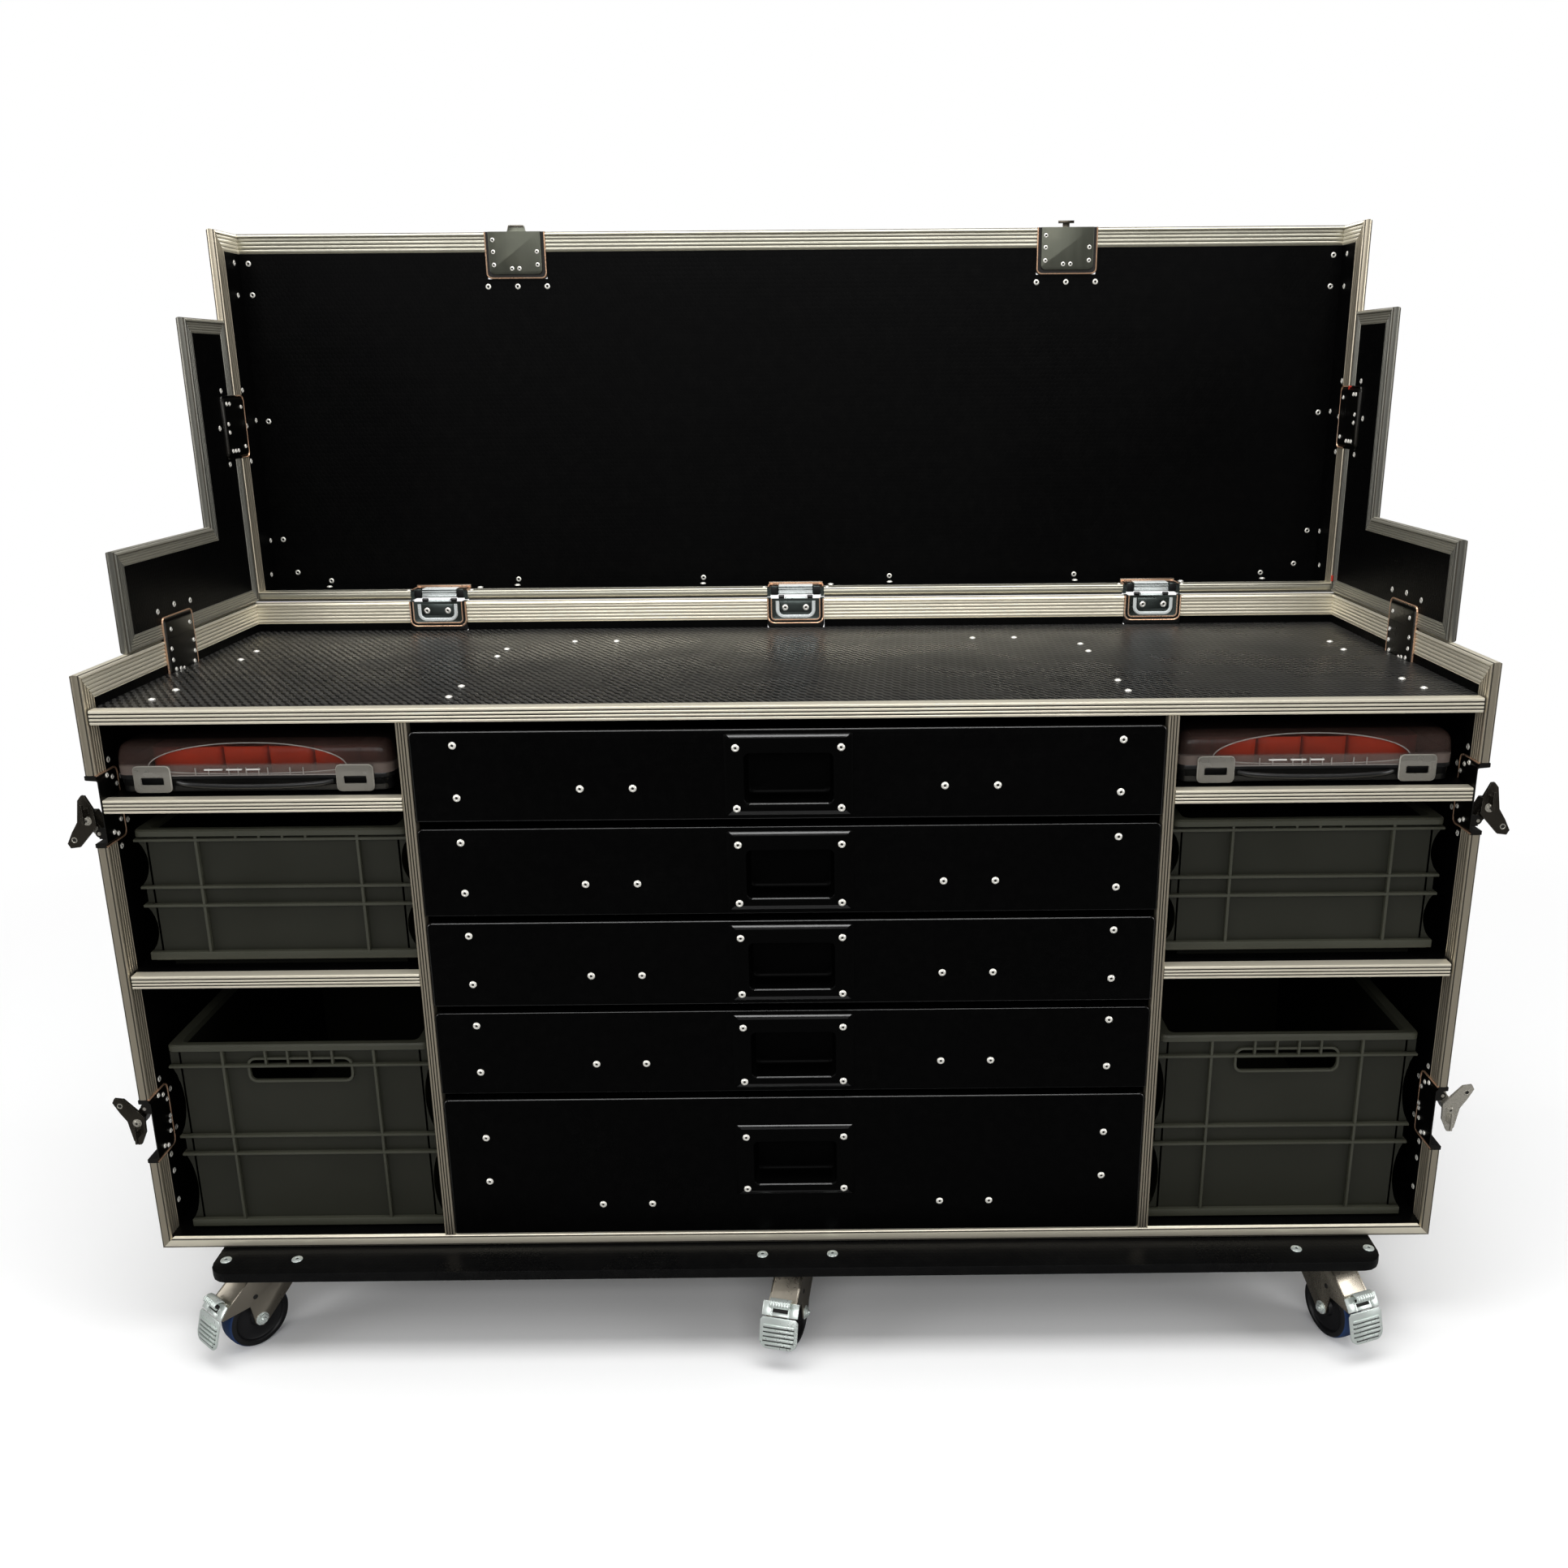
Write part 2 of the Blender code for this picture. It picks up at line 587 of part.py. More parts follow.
def drawers(front_finish, pull_finish, parent):
    """Five drawers on runners, each with its recessed pull."""
    half = RUNNER_FACE + GAP - RUNNING_GAP
    box_half = RUNNER_FACE - RUNNER_WIDTH
    for number, (bottom, top, pull_z) in enumerate(drawer_spans(), start=1):
        front = prism(rounded((-half, bottom), (half, top), CORNER_RADIUS, (False, False, True, True)),
                      "y", 0.0, DRAWER_FRONT)
        floor_z = bottom + DRAWER_RISE
        shell = box((-box_half, DRAWER_FRONT / 2, floor_z), (box_half, DRAWER_DEPTH, top - DRAWER_SIDE_DROP))
        low, high = runner_span(bottom)
        runners = []
        for side in SIDES.values():
            runners.append(box((side * (box_half - DRAWER_WALL / 2), TRIM_DEPTH + RUNNING_GAP, low),
                               (side * RUNNER_FACE, DRAWER_DEPTH, high)))
        hollow = box((-box_half + DRAWER_WALL, DRAWER_FRONT, floor_z + DRAWER_FLOOR),
                     (box_half - DRAWER_WALL, DRAWER_DEPTH - DRAWER_WALL, top + 0.01))
        pocket_low, pocket_high = pull_pocket(pull_z)
        mouth = box(*grown(pocket_low, (pocket_high[0], DRAWER_FRONT + 0.01, pocket_high[2]), GAP + PULL_SHEET))
        drawer = piece(f"drawer_{number}", fuse([front, shell] + runners, [hollow, mouth]), front_finish,
                       origin=(0, 0, pull_z), parent=parent)
        pull_mesh = pull(pull_z)
        pull_mesh.transform(Matrix.Translation((0, 0, -pull_z)))
        piece(f"drawer_pull_{number}", pull_mesh, pull_finish, parent=drawer)


def pull_pocket(z):
    """The hollow of a recessed pull whose plate is centred at height z."""
    middle = z - PULL_DROP
    return ((-PULL_POCKET_WIDTH / 2, -0.01, middle - PULL_POCKET_HEIGHT / 2),
            (PULL_POCKET_WIDTH / 2, PULL_POCKET_DEPTH, middle + PULL_POCKET_HEIGHT / 2))


def pull(z):
    """A pressed steel pull: a plate with sloped edges and a pocket behind it."""
    low, high = pull_pocket(z)
    back = box((low[0] - PULL_SHEET, -PULL_PLATE / 2, low[2] - PULL_SHEET),
               (high[0] + PULL_SHEET, high[1] + PULL_SHEET, high[2] + PULL_SHEET))
    bm = bmesh.new()
    slope = 0.006
    rings = []
    for depth, shrink in ((-GAP, 0.0), (-0.001, 0.0), (-PULL_PLATE, slope)):
        x, half = PULL_WIDTH / 2 - shrink, PULL_HEIGHT / 2 - shrink
        rings.append([bm.verts.new((px, depth, z + pz))
                      for px, pz in ((-x, -half), (x, -half), (x, half), (-x, half))])
    bm.faces.new(rings[0])
    bm.faces.new(rings[-1])
    for first, second in zip(rings, rings[1:]):
        for index in range(4):
            after = (index + 1) % 4
            bm.faces.new((first[index], first[after], second[after], second[index]))
    plate = mesh_from(bm)
    return fuse([plate, back], [box(low, high)])


def crate(height, hand_holes):
    """A ribbed stacking crate, standing on the origin with its front at y = 0."""
    half = CRATE_WIDTH / 2
    body = half - CRATE_RIB
    shapes = [box((-body, CRATE_RIB, 0.0), (body, CRATE_DEPTH - CRATE_RIB, height))]
    middle = height * 0.42
    bands = [(height - 0.010, height), (height - 0.036, height - 0.036 + CRATE_BAND),
             (middle, middle + CRATE_BAND), (middle - 0.022, middle - 0.022 + CRATE_BAND), (0.004, 0.016)]
    for low, high in bands:
        shapes.append(box((-half, 0.0, low), (half, CRATE_DEPTH, high)))
    for x in (-0.125, 0.105):
        shapes.append(box((x, 0.001, 0.004), (x + CRATE_BAND, CRATE_DEPTH - 0.001, height)))
    for part in (0.16, 0.39, 0.61, 0.84):
        y = CRATE_DEPTH * part
        shapes.append(box((-half + 0.001, y, 0.004), (half - 0.001, y + CRATE_BAND, height)))
    hollow = box((-body + CRATE_WALL, CRATE_RIB + CRATE_WALL, CRATE_WALL + 0.002),
                 (body - CRATE_WALL, CRATE_DEPTH - CRATE_RIB - CRATE_WALL, height + 0.01))
    hole_z = height - HAND_HOLE_DROP
    outline = rounded((-HAND_HOLE_WIDTH / 2, hole_z - HAND_HOLE_HEIGHT / 2),
                      (HAND_HOLE_WIDTH / 2, hole_z + HAND_HOLE_HEIGHT / 2), 0.010, steps=3)
    holes = [prism(outline, "y", -0.01, CRATE_DEPTH + 0.01)] if hand_holes else []
    return fuse(shapes, [hollow] + holes)


def crates(finish, parent):
    """Four crates: a low one and a tall one, with hand holes, in each side bay."""
    levels = {"upper": (LOWER_SHELF_TOP + GAP, crate(UPPER_CRATE_HEIGHT, False)),
              "lower": (BASE_FLOOR, crate(LOWER_CRATE_HEIGHT, True))}
    for level, (z, mesh) in levels.items():
        for name, side in SIDES.items():
            made = piece(f"crate_{name}_{level}", mesh, finish, parent=parent)
            made.location = (side * CRATE_X, CRATE_SETBACK, z)


def parts_box_tray():
    """The tray of a small-parts box, standing on the origin with its front at y = 0."""
    half = BOX_WIDTH / 2
    outer = prism(rounded((-half, 0.0), (half, BOX_DEPTH), 0.014), "z", 0.0, BOX_TRAY_HEIGHT)
    hollow = prism(rounded((-half + BOX_WALL, BOX_WALL), (half - BOX_WALL, BOX_DEPTH - BOX_WALL), 0.0115),
                   "z", BOX_WALL, BOX_TRAY_HEIGHT + 0.01)
    return fuse([outer], [hollow])


def parts_box_lid():
    """The clear lid over the tray, with two clasps hanging over the tray's front."""
    half = BOX_WIDTH / 2
    low, high = BOX_TRAY_HEIGHT + GAP, BOX_TRAY_HEIGHT + BOX_LID_HEIGHT
    step = BOX_SHOULDER
    inner = step + BOX_WALL
    shapes = [prism(rounded((-half, 0.0), (half, BOX_DEPTH), 0.014), "z", low, high - step),
              prism(rounded((-half + step, step), (half - step, BOX_DEPTH - step), 0.012), "z", low, high)]
    cuts = [prism(rounded((-half + BOX_WALL, BOX_WALL), (half - BOX_WALL, BOX_DEPTH - BOX_WALL), 0.0115),
                  "z", low - 0.01, high - inner),
            prism(rounded((-half + inner, inner), (half - inner, BOX_DEPTH - inner), 0.0095),
                  "z", low - 0.01, high - BOX_WALL)]
    for side in SIDES.values():
        x = side * CLASP_X
        top, bottom = low + 0.014, low + 0.014 - CLASP_HEIGHT
        shapes.append(box((x - CLASP_WIDTH / 2, -0.0045, bottom), (x + CLASP_WIDTH / 2, -0.0015, top)))
        shapes.append(box((x - CLASP_WIDTH / 2, -0.0045, low + 0.001), (x + CLASP_WIDTH / 2, 0.002, top)))
        cuts.append(box((x - CLASP_WIDTH / 2 + 0.010, -0.01, bottom + 0.0115),
                        (x + CLASP_WIDTH / 2 - 0.010, 0.0005, bottom + 0.023)))
    return fuse(shapes, cuts)


def parts_boxes(tray_finish, lid_finish, parent):
    """A small-parts box on each upper shelf."""
    tray_mesh, lid_mesh = parts_box_tray(), parts_box_lid()
    for name, side in SIDES.items():
        tray = piece(f"parts_box_{name}", tray_mesh, tray_finish, parent=parent, smooth=True)
        tray.location = (side * (HALF_WIDTH - BOX_INSETS[name]), BOX_SETBACK, UPPER_SHELF_TOP + GAP)
        piece(f"parts_box_lid_{name}", lid_mesh, lid_finish, parent=tray, smooth=True)


LID_FRONT = DEPTH + GAP
LID_BACK = LID_FRONT + LID_DEPTH
LID_BOTTOM = HEIGHT + 2 * GAP
LID_TOP = LID_BOTTOM + LID_HEIGHT
LID_BACK_FACE = LID_BACK - WALL
LID_BACK_BOARD = ((-HALF_WIDTH + LEG, LID_BACK - LEG - BOARD, LID_BOTTOM + LEG),
                  (HALF_WIDTH - LEG, LID_BACK - LEG, LID_TOP - NOSE_DEPTH - GAP))
LID_FLOOR_BOARD = ((-HALF_WIDTH + LEG, LID_FRONT + NOSE_DEPTH + GAP, LID_BOTTOM + LEG),
                   (HALF_WIDTH - LEG, LID_BACK - LEG, LID_BOTTOM + LEG + BOARD))


def lid_side_box(side):
    return ((side * (INSIDE + LEG), LID_FRONT + NOSE_DEPTH + GAP, LID_BOTTOM + LEG),
            (side * (HALF_WIDTH - LEG), LID_BACK - LEG, LID_TOP - NOSE_DEPTH - GAP))


def lid_pockets():
    """The dishes in the lid: two latches at its top edge, two keepers, three hinges."""
    pockets = []
    for side in SIDES.values():
        low_x = side * TOP_LATCH_X - LATCH_DISH / 2
        high_x = side * TOP_LATCH_X + LATCH_DISH / 2
        back = LID_BACK_FACE - DISH_PROUD
        low_z = LID_TOP - TOP_LATCH_DEPTH
        pockets.append((((low_x, back, low_z), (high_x, LID_BACK - LEG / 2, LID_TOP)),
                        ((low_x + DISH_SHEET, back + DISH_SHEET, low_z + DISH_SHEET),
                         (high_x - DISH_SHEET, LID_BACK + 0.01, LID_TOP + 0.01))))
        inner = side * (INSIDE - DISH_PROUD)
        low, high = WING_LATCH_Z - LATCH_DISH / 2, WING_LATCH_Z + LATCH_DISH / 2
        pockets.append((((inner, LID_FRONT, low), (side * (HALF_WIDTH - LEG / 2), LID_FRONT + KEEPER_DISH_DEPTH, high)),
                        ((inner + side * DISH_SHEET, LID_FRONT - 0.01, low + DISH_SHEET),
                         (side * (HALF_WIDTH + 0.01), LID_FRONT + KEEPER_DISH_DEPTH - DISH_SHEET, high - DISH_SHEET))))
    for x in (-HINGE_X, 0.0, HINGE_X):
        low_x, high_x = x - HINGE_WIDTH / 2, x + HINGE_WIDTH / 2
        top = LID_BOTTOM + WALL + DISH_PROUD
        reach = LID_FRONT + HINGE_LID_REACH
        pockets.append((((low_x, LID_FRONT, LID_BOTTOM + LEG / 2), (high_x, reach, top)),
                        ((low_x + DISH_SHEET, LID_FRONT - 0.01, LID_BOTTOM - 0.01),
                         (high_x - DISH_SHEET, reach - DISH_SHEET, top - DISH_SHEET))))
    return pockets


def lid(board_finish, frame_finish, parent):
    """The open lid: a shallow tray of boards, and the profiles, angles and dishes round it."""
    axis = (0.0, LID_FRONT, LID_BOTTOM - GAP)
    boards = [LID_BACK_BOARD, LID_FLOOR_BOARD] + [lid_side_box(side) for side in SIDES.values()]
    shell = blocks((True, boards), (False, room_for(lid_pockets())))
    piece("lid_shell", shell, board_finish, origin=axis, parent=parent)

    profiles = []
    for side in SIDES.values():
        outer = side * HALF_WIDTH
        inner = side * INSIDE
        nose = side * (HALF_WIDTH - NOSE_WIDTH)
        skin = outer - side * LEG
        flange = outer - side * ANGLE
        profiles += [((inner, LID_FRONT, LID_BOTTOM), (outer, LID_FRONT + PROFILE_LEG, LID_TOP)),
                     ((nose, LID_FRONT, LID_BOTTOM), (outer, LID_FRONT + NOSE_DEPTH, LID_TOP)),
                     ((inner, LID_FRONT, LID_TOP - PROFILE_LEG), (outer, LID_BACK, LID_TOP)),
                     ((nose, LID_FRONT, LID_TOP - NOSE_DEPTH), (outer, LID_BACK, LID_TOP)),
                     ((outer, LID_BACK - ANGLE, LID_BOTTOM), (skin, LID_BACK, LID_TOP)),
                     ((outer, LID_BACK - LEG, LID_BOTTOM), (flange, LID_BACK, LID_TOP)),
                     ((outer, LID_FRONT, LID_BOTTOM), (skin, LID_BACK, LID_BOTTOM + ANGLE)),
                     ((outer, LID_FRONT, LID_BOTTOM), (flange, LID_BACK, LID_BOTTOM + LEG))]
    left, right = -HALF_WIDTH, HALF_WIDTH
    profiles += [((left, LID_FRONT, LID_BOTTOM), (right, LID_FRONT + PROFILE_LEG, LID_BOTTOM + WALL)),
                 ((left, LID_FRONT, LID_BOTTOM), (right, LID_FRONT + NOSE_DEPTH, LID_BOTTOM + NOSE_WIDTH)),
                 ((left, LID_BACK_FACE, LID_TOP - PROFILE_LEG), (right, LID_BACK, LID_TOP)),
                 ((left, LID_BACK - NOSE_WIDTH, LID_TOP - NOSE_DEPTH), (right, LID_BACK, LID_TOP)),
                 ((left, LID_BACK - LEG, LID_BOTTOM), (right, LID_BACK, LID_BOTTOM + ANGLE)),
                 ((left, LID_BACK - ANGLE, LID_BOTTOM), (right, LID_BACK, LID_BOTTOM + LEG))]
    fittings = []
    holes = []
    knuckles = []
    for side in SIDES.values():
        pair, pin_holes = top_ears(side)
        fittings += pair
        holes += pin_holes
    for x in (-HINGE_X, 0.0, HINGE_X):
        leaves, pair = lid_leaf(x)
        fittings += leaves
        knuckles += pair
    frame = blocks((True, profiles), (False, [grown(*board) for board in boards]),
                   (True, [sheet for sheet, hollow in lid_pockets()]),
                   (False, [hollow for sheet, hollow in lid_pockets()]), (True, fittings))
    piece("lid_frame", fuse([frame] + knuckles, holes), frame_finish, origin=axis, parent=parent)


def lid_leaf(x):
    """The lid's half of a hinge: two knuckles on the axis, either side of the base's one."""
    inner = HINGE_WIDTH * 0.19 + RUNNING_GAP
    outer = HINGE_WIDTH * 0.36
    axis_y, axis_z = DEPTH + GAP, HEIGHT + GAP
    top = LID_BOTTOM + WALL + DISH_PROUD
    leaves = []
    knuckles = []
    for side in SIDES.values():
        leaves.append(((x + side * inner, axis_y, axis_z), (x + side * outer, axis_y + KNUCKLE_RADIUS, top)))
        knuckles.append(rod((x + side * inner, axis_y, axis_z), (x + side * outer, axis_y, axis_z),
                            KNUCKLE_RADIUS, 12))
    return leaves, knuckles


def top_ears(side):
    """Ears and pin holes of a latch in the lid's back, whose seam faces up."""
    x = side * (TOP_LATCH_X + LATCH_DISH / 2 - PIN_END)
    y = LID_BACK - PIN_INSET
    shapes = []
    for start in (EAR_START, EAR_START + EAR + 2 * GAP + LATCH_BODY):
        shapes.append(((x - EAR_HALF, y - EAR_ROOT, LID_TOP - start - EAR),
                       (x + EAR_HALF, y + 0.004, LID_TOP - start)))
    return shapes, [rod((x, y, LID_TOP - 0.007), (x, y, LID_TOP - 0.045), PIN_RADIUS + GAP, 12)]


def wing_boxes(low_x, high_x, margin):
    """The two boxes of a stepped wing between two planes, its edges moved in by a margin."""
    back, foot = LID_FRONT - GAP - margin, HEIGHT + GAP + margin
    return [((low_x, WING_LOW_FRONT + margin, foot), (high_x, back, WING_STEP_Z - margin)),
            ((low_x, WING_HIGH_FRONT + margin, foot), (high_x, back, WING_TOP_Z - margin))]


def wing_pockets(side):
    """The latch dish at the wing's rear edge and the keeper dish at its foot."""
    inner = side * (INSIDE - DISH_PROUD)
    outer = side * (HALF_WIDTH - LEG / 2)
    past = side * (HALF_WIDTH + 0.01)
    back = LID_FRONT - GAP
    low, high = WING_LATCH_Z - LATCH_DISH / 2, WING_LATCH_Z + LATCH_DISH / 2
    latch = (((inner, back - LATCH_DISH_DEPTH, low), (outer, back, high)),
             ((inner + side * DISH_SHEET, back - LATCH_DISH_DEPTH + DISH_SHEET, low + DISH_SHEET),
              (past, back + 0.01, high - DISH_SHEET)))
    front, rear = RIM_LATCH_Y - LATCH_DISH / 2, RIM_LATCH_Y + LATCH_DISH / 2
    foot, top = HEIGHT + GAP, HEIGHT + GAP + KEEPER_DISH_DEPTH
    keeper = (((inner, front, foot), (outer, rear, top)),
              ((inner + side * DISH_SHEET, front + DISH_SHEET, foot - 0.01),
               (past, rear - DISH_SHEET, top - DISH_SHEET)))
    return [latch, keeper]


def wings(board_finish, frame_finish, parent):
    """Two stepped wings that lift off the rim, each a board in a ring of edge profile."""
    for name, side in SIDES.items():
        pockets = wing_pockets(side)
        inside, outside = side * INSIDE, side * HALF_WIDTH
        inner, outer = side * (INSIDE + LEG), side * (HALF_WIDTH - LEG)
        nose = side * (HALF_WIDTH - NOSE_WIDTH)
        board = wing_boxes(inner, outer, NOSE_DEPTH + GAP)
        mesh = blocks((True, board), (False, room_for(pockets)))
        piece(f"wing_board_{name}", mesh, board_finish, parent=parent)
        ring = blocks((True, wing_boxes(nose, outside, 0.0)), (False, wing_boxes(nose, inside, NOSE_DEPTH)),
                      (False, wing_boxes(inside, outside, PROFILE_LEG)), (False, [grown(*part) for part in board]),
                      (True, [sheet for sheet, hollow in pockets]), (False, [hollow for sheet, hollow in pockets]))
        piece(f"wing_frame_{name}", ring, frame_finish, parent=parent)


def latch(mirror):
    """An open butterfly latch about its pin.

    Local x points out of the wall, z runs along the dish away from the pin (the other way
    when mirrored), and -y crosses the seam.
    """
    flip = -1 if mirror else 1
    first = EAR_START + EAR + GAP
    last = first + LATCH_BODY
    blade = [(0.0000, 0.0120), (0.0093, 0.0016), (0.0278, -0.0185), (0.0414, -0.0202), (LATCH_REACH, -0.0131),
             (0.0365, 0.0038), (0.0267, 0.0190), (0.0213, 0.0518), (0.0153, 0.0590), (0.0104, 0.0583),
             (0.0010, 0.0380)]
    shapes = [rod((0, first, 0), (0, last, 0), EYE_RADIUS, 16),
              rod((0, 0.0075, 0), (0, last + GAP + EAR + 0.001, 0), PIN_RADIUS, 12),
              prism([(x, flip * z) for x, z in blade], "y", 0.0035, 0.0078)]
    arm = [(-0.0040, 0.0050), (0.0060, -0.0030), (0.0250, 0.0210), (0.0190, 0.0300), (0.0090, 0.0300)]
    shapes.append(prism([(x, flip * z) for x, z in arm], "y", first, last))
    bridge = [(0.0120, 0.0170), (0.0220, 0.0170), (0.0210, 0.0300), (0.0100, 0.0300)]
    shapes.append(prism([(x, flip * z) for x, z in bridge], "y", 0.0050, first + 0.002))
    shapes.append(box((0.0080, -0.0090, flip * 0.0290), (0.0110, 0.0060, flip * 0.0410)))
    shapes.append(box((0.0080, -0.0130, flip * 0.0210), (0.0110, -0.0085, flip * 0.0490)))
    return fuse(shapes)


def latches(finish, parent):
    """Four latches beside the front opening and two at the top of the lid, all swung open."""
    plain, mirrored = latch(False), latch(True)
    reach = LATCH_DISH - PIN_END
    for name, side in SIDES.items():
        x = side * (HALF_WIDTH - PIN_INSET)
        for level, z, mesh in (("upper", UPPER_LATCH_Z + PIN_END, plain if side > 0 else mirrored),
                               ("lower", LOWER_LATCH_Z + reach, mirrored if side > 0 else plain)):
            made = piece(f"latch_{name}_{level}", mesh, finish, parent=parent, smooth=True)
            made.location = (x, 0.0, z)
            made.rotation_euler.y = 0.0 if side > 0 else math.pi
        top = piece(f"latch_top_{name}", plain if side > 0 else mirrored, finish, parent=parent, smooth=True)
        top.location = (side * (TOP_LATCH_X + LATCH_DISH / 2 - PIN_END), LID_BACK - PIN_INSET, LID_TOP)
        top.rotation_euler = Matrix(((0, 0, -1), (1, 0, 0), (0, -1, 0))).to_euler()


def castor_places():
    """Name, place and heading of each castor; headings turn the wheel's trail from +X."""
    return [("front_left", -CASTOR_X, FRONT_CASTOR_Y, math.radians(230)),
            ("front_centre", 0.0, FRONT_CASTOR_Y, CENTRE_HEADING),
            ("front_right", CASTOR_X, FRONT_CASTOR_Y, math.radians(290)),
            ("rear_left", -CASTOR_X, REAR_CASTOR_Y, math.radians(118)),
            ("rear_centre", 0.0, REAR_CASTOR_Y, math.radians(82)),
            ("rear_right", CASTOR_X, REAR_CASTOR_Y, math.radians(64))]


def castor_board(finish, parent):
    """The board under the case that carries the castors, with their top plates."""
    outline = rounded((-CASTOR_BOARD_HALF, CASTOR_BOARD_FRONT), (CASTOR_BOARD_HALF, CASTOR_BOARD_BACK),
                      CASTOR_BOARD_RADIUS)
    top = -GAP
    under = top - CASTOR_BOARD
    shapes = [prism(outline, "z", under, top)]
    for name, x, y, heading in castor_places():
        shapes.append(box((x - PLATE_X / 2, y - PLATE_Y / 2, under - PLATE),
                          (x + PLATE_X / 2, y + PLATE_Y / 2, under + 0.001)))
    piece("castor_board", fuse(shapes), finish, parent=parent)


def fork():
    """A castor fork about its swivel axis, its wheel trailing towards +X, z = 0 under the board."""
    axle_z = -(CASTOR_HEIGHT - WHEEL_RADIUS)
    top = -PLATE - GAP
    cheek = WHEEL_WIDTH / 2 + RUNNING_GAP + FORK_SHEET
    crown_low = top - CROWN
    shapes = [rod((0, 0, top), (0, 0, crown_low - 0.001), CROWN_RADIUS, 24),
              box((-0.030, -cheek, crown_low - FORK_SHEET), (0.052, cheek, crown_low))]
    leg = [(-0.030, crown_low), (-0.022, axle_z + 0.040), (0.028, axle_z - 0.006), (0.040, axle_z - 0.013),
           (0.051, axle_z - 0.004), (0.056, axle_z + 0.030), (PEDAL_REACH - 0.004, -PEDAL_DROP - 0.006),
           (PEDAL_REACH, -PEDAL_DROP), (0.052, crown_low)]
    for side in SIDES.values():
        shapes.append(prism(leg, "y", side * cheek, side * (cheek - FORK_SHEET)))
    shapes.append(rod((TRAIL, -cheek - 0.004, axle_z), (TRAIL, cheek + 0.004, axle_z), AXLE_RADIUS, 12))
    slope = [(0.050, crown_low), (PEDAL_REACH, -PEDAL_DROP), (PEDAL_REACH - 0.002, -PEDAL_DROP - FORK_SHEET),
             (0.050, crown_low - FORK_SHEET)]
    shapes.append(prism(slope, "y", -cheek, cheek))
    return fuse(shapes)


def wheel():
    """A wheel about its axle: a turned tyre on a hub with a bore, spun about Y.

    Its flats touch the stated radius and one of them stands on the floor.
    """
    half = WHEEL_WIDTH / 2
    bore = AXLE_RADIUS + 0.0005
    profile = [(bore, -half), (0.013, -half), (0.016, -half + 0.006), (0.036, -half + 0.006),
               (0.041, -half + 0.001), (WHEEL_RADIUS - 0.003, -half + 0.001), (WHEEL_RADIUS, -half + 0.007)]
    profile += [(radius, -y) for radius, y in reversed(profile)]
    sides = 24
    stretch = 1 / math.cos(math.pi / sides)
    bm = bmesh.new()
    rings = []
    for step in range(sides):
        angle = 2 * math.pi * (step + 0.5) / sides
        across, up = stretch * math.cos(angle), stretch * math.sin(angle)
        rings.append([bm.verts.new((radius * across, y, radius * up)) for radius, y in profile])
    for step in range(sides):
        here, after = rings[step], rings[(step + 1) % sides]
        for index in range(len(profile)):
            following = (index + 1) % len(profile)
            bm.faces.new((here[index], here[following], after[following], after[index]))
    return mesh_from(bm)


def pedal():
    """A brake pedal about its pivot at the fork's end, sloping down to a ribbed toe plate."""
    outline = [(0.000, 0.004), (0.004, 0.001), (PEDAL_TOE, -0.046), (PEDAL_TOE - 0.004, -0.048),
               (0.0005, -0.004)]
    plate = prism(outline, "y", -PEDAL_HALF, PEDAL_HALF)
    nib = prism([(-0.020, 0.014), (-0.012, 0.019), (0.001, 0.003), (0.000, -0.001)], "y", -0.014, 0.014)
    return fuse([plate, nib])


def castors(fork_finish, wheel_finish, pedal_finish, parent):
    """Six swivel castors, the front three with brake pedals."""
    fork_mesh, wheel_mesh, pedal_mesh = fork(), wheel(), pedal()
    axle_z = -(CASTOR_HEIGHT - WHEEL_RADIUS)
    for name, x, y, heading in castor_places():
        made = piece(f"castor_fork_{name}", fork_mesh, fork_finish, parent=parent, turn=heading, smooth=True)
        made.location = (x, y, -GAP - CASTOR_BOARD)
        turning = piece(f"castor_wheel_{name}", wheel_mesh, wheel_finish, parent=made, smooth=True)
        turning.location = (TRAIL, 0.0, axle_z)
        if name.startswith("front"):
            foot = piece(f"brake_pedal_{name}", pedal_mesh, pedal_finish, parent=made)
            foot.location = (PEDAL_REACH + RUNNING_GAP, 0.0, -PEDAL_DROP)


def build():
    for old in list(bpy.data.objects):
        bpy.data.objects.remove(old)
    black_board = material("black_board", (0.012, 0.012, 0.013), 0.55)
    aluminium = material("aluminium_profile", (0.60, 0.58, 0.54), 0.35, 1.0)
    black_front = material("black_front", (0.010, 0.010, 0.011), 0.42)
    black_steel = material("black_steel", (0.015, 0.015, 0.016), 0.38, 0.4)
    crate_grey = material("crate_grey", (0.095, 0.100, 0.090), 0.60)
    tray_black = material("tray_black", (0.015, 0.015, 0.016), 0.50)
    clear_lid = material("clear_lid", (0.62, 0.52, 0.48), 0.25)
    zinc = material("zinc_steel", (0.66, 0.66, 0.62), 0.32, 1.0)
    wheel_blue = material("wheel_black_and_blue", (0.012, 0.020, 0.045), 0.55)
    latch_steel = material("latch_steel", (0.55, 0.54, 0.50), 0.35, 1.0)

    case = empty("case", (0.0, -MID_DEPTH, CASTOR_BASE))
    castor_board(black_board, case)
    castors(zinc, wheel_blue, zinc, case)
    carcass(black_board, case)
    base_frame(aluminium, case)
    bay_trim(aluminium, case)
    drawers(black_front, black_steel, case)
    crates(crate_grey, case)
    parts_boxes(tray_black, clear_lid, case)
    lid(black_board, aluminium, case)
    wings(black_board, aluminium, case)
    latches(latch_steel, case)


build()
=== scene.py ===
"""Looks of the wheeled workstation flight case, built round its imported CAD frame.

Shapes are laid out in the cabinet's own frame, in metres: x from the middle, y back from the
front opening, z up from the underside of the base. ORIGIN is that frame's place in the world.
"""
import json
import math

import bmesh
import bpy
from mathutils import Matrix, Vector


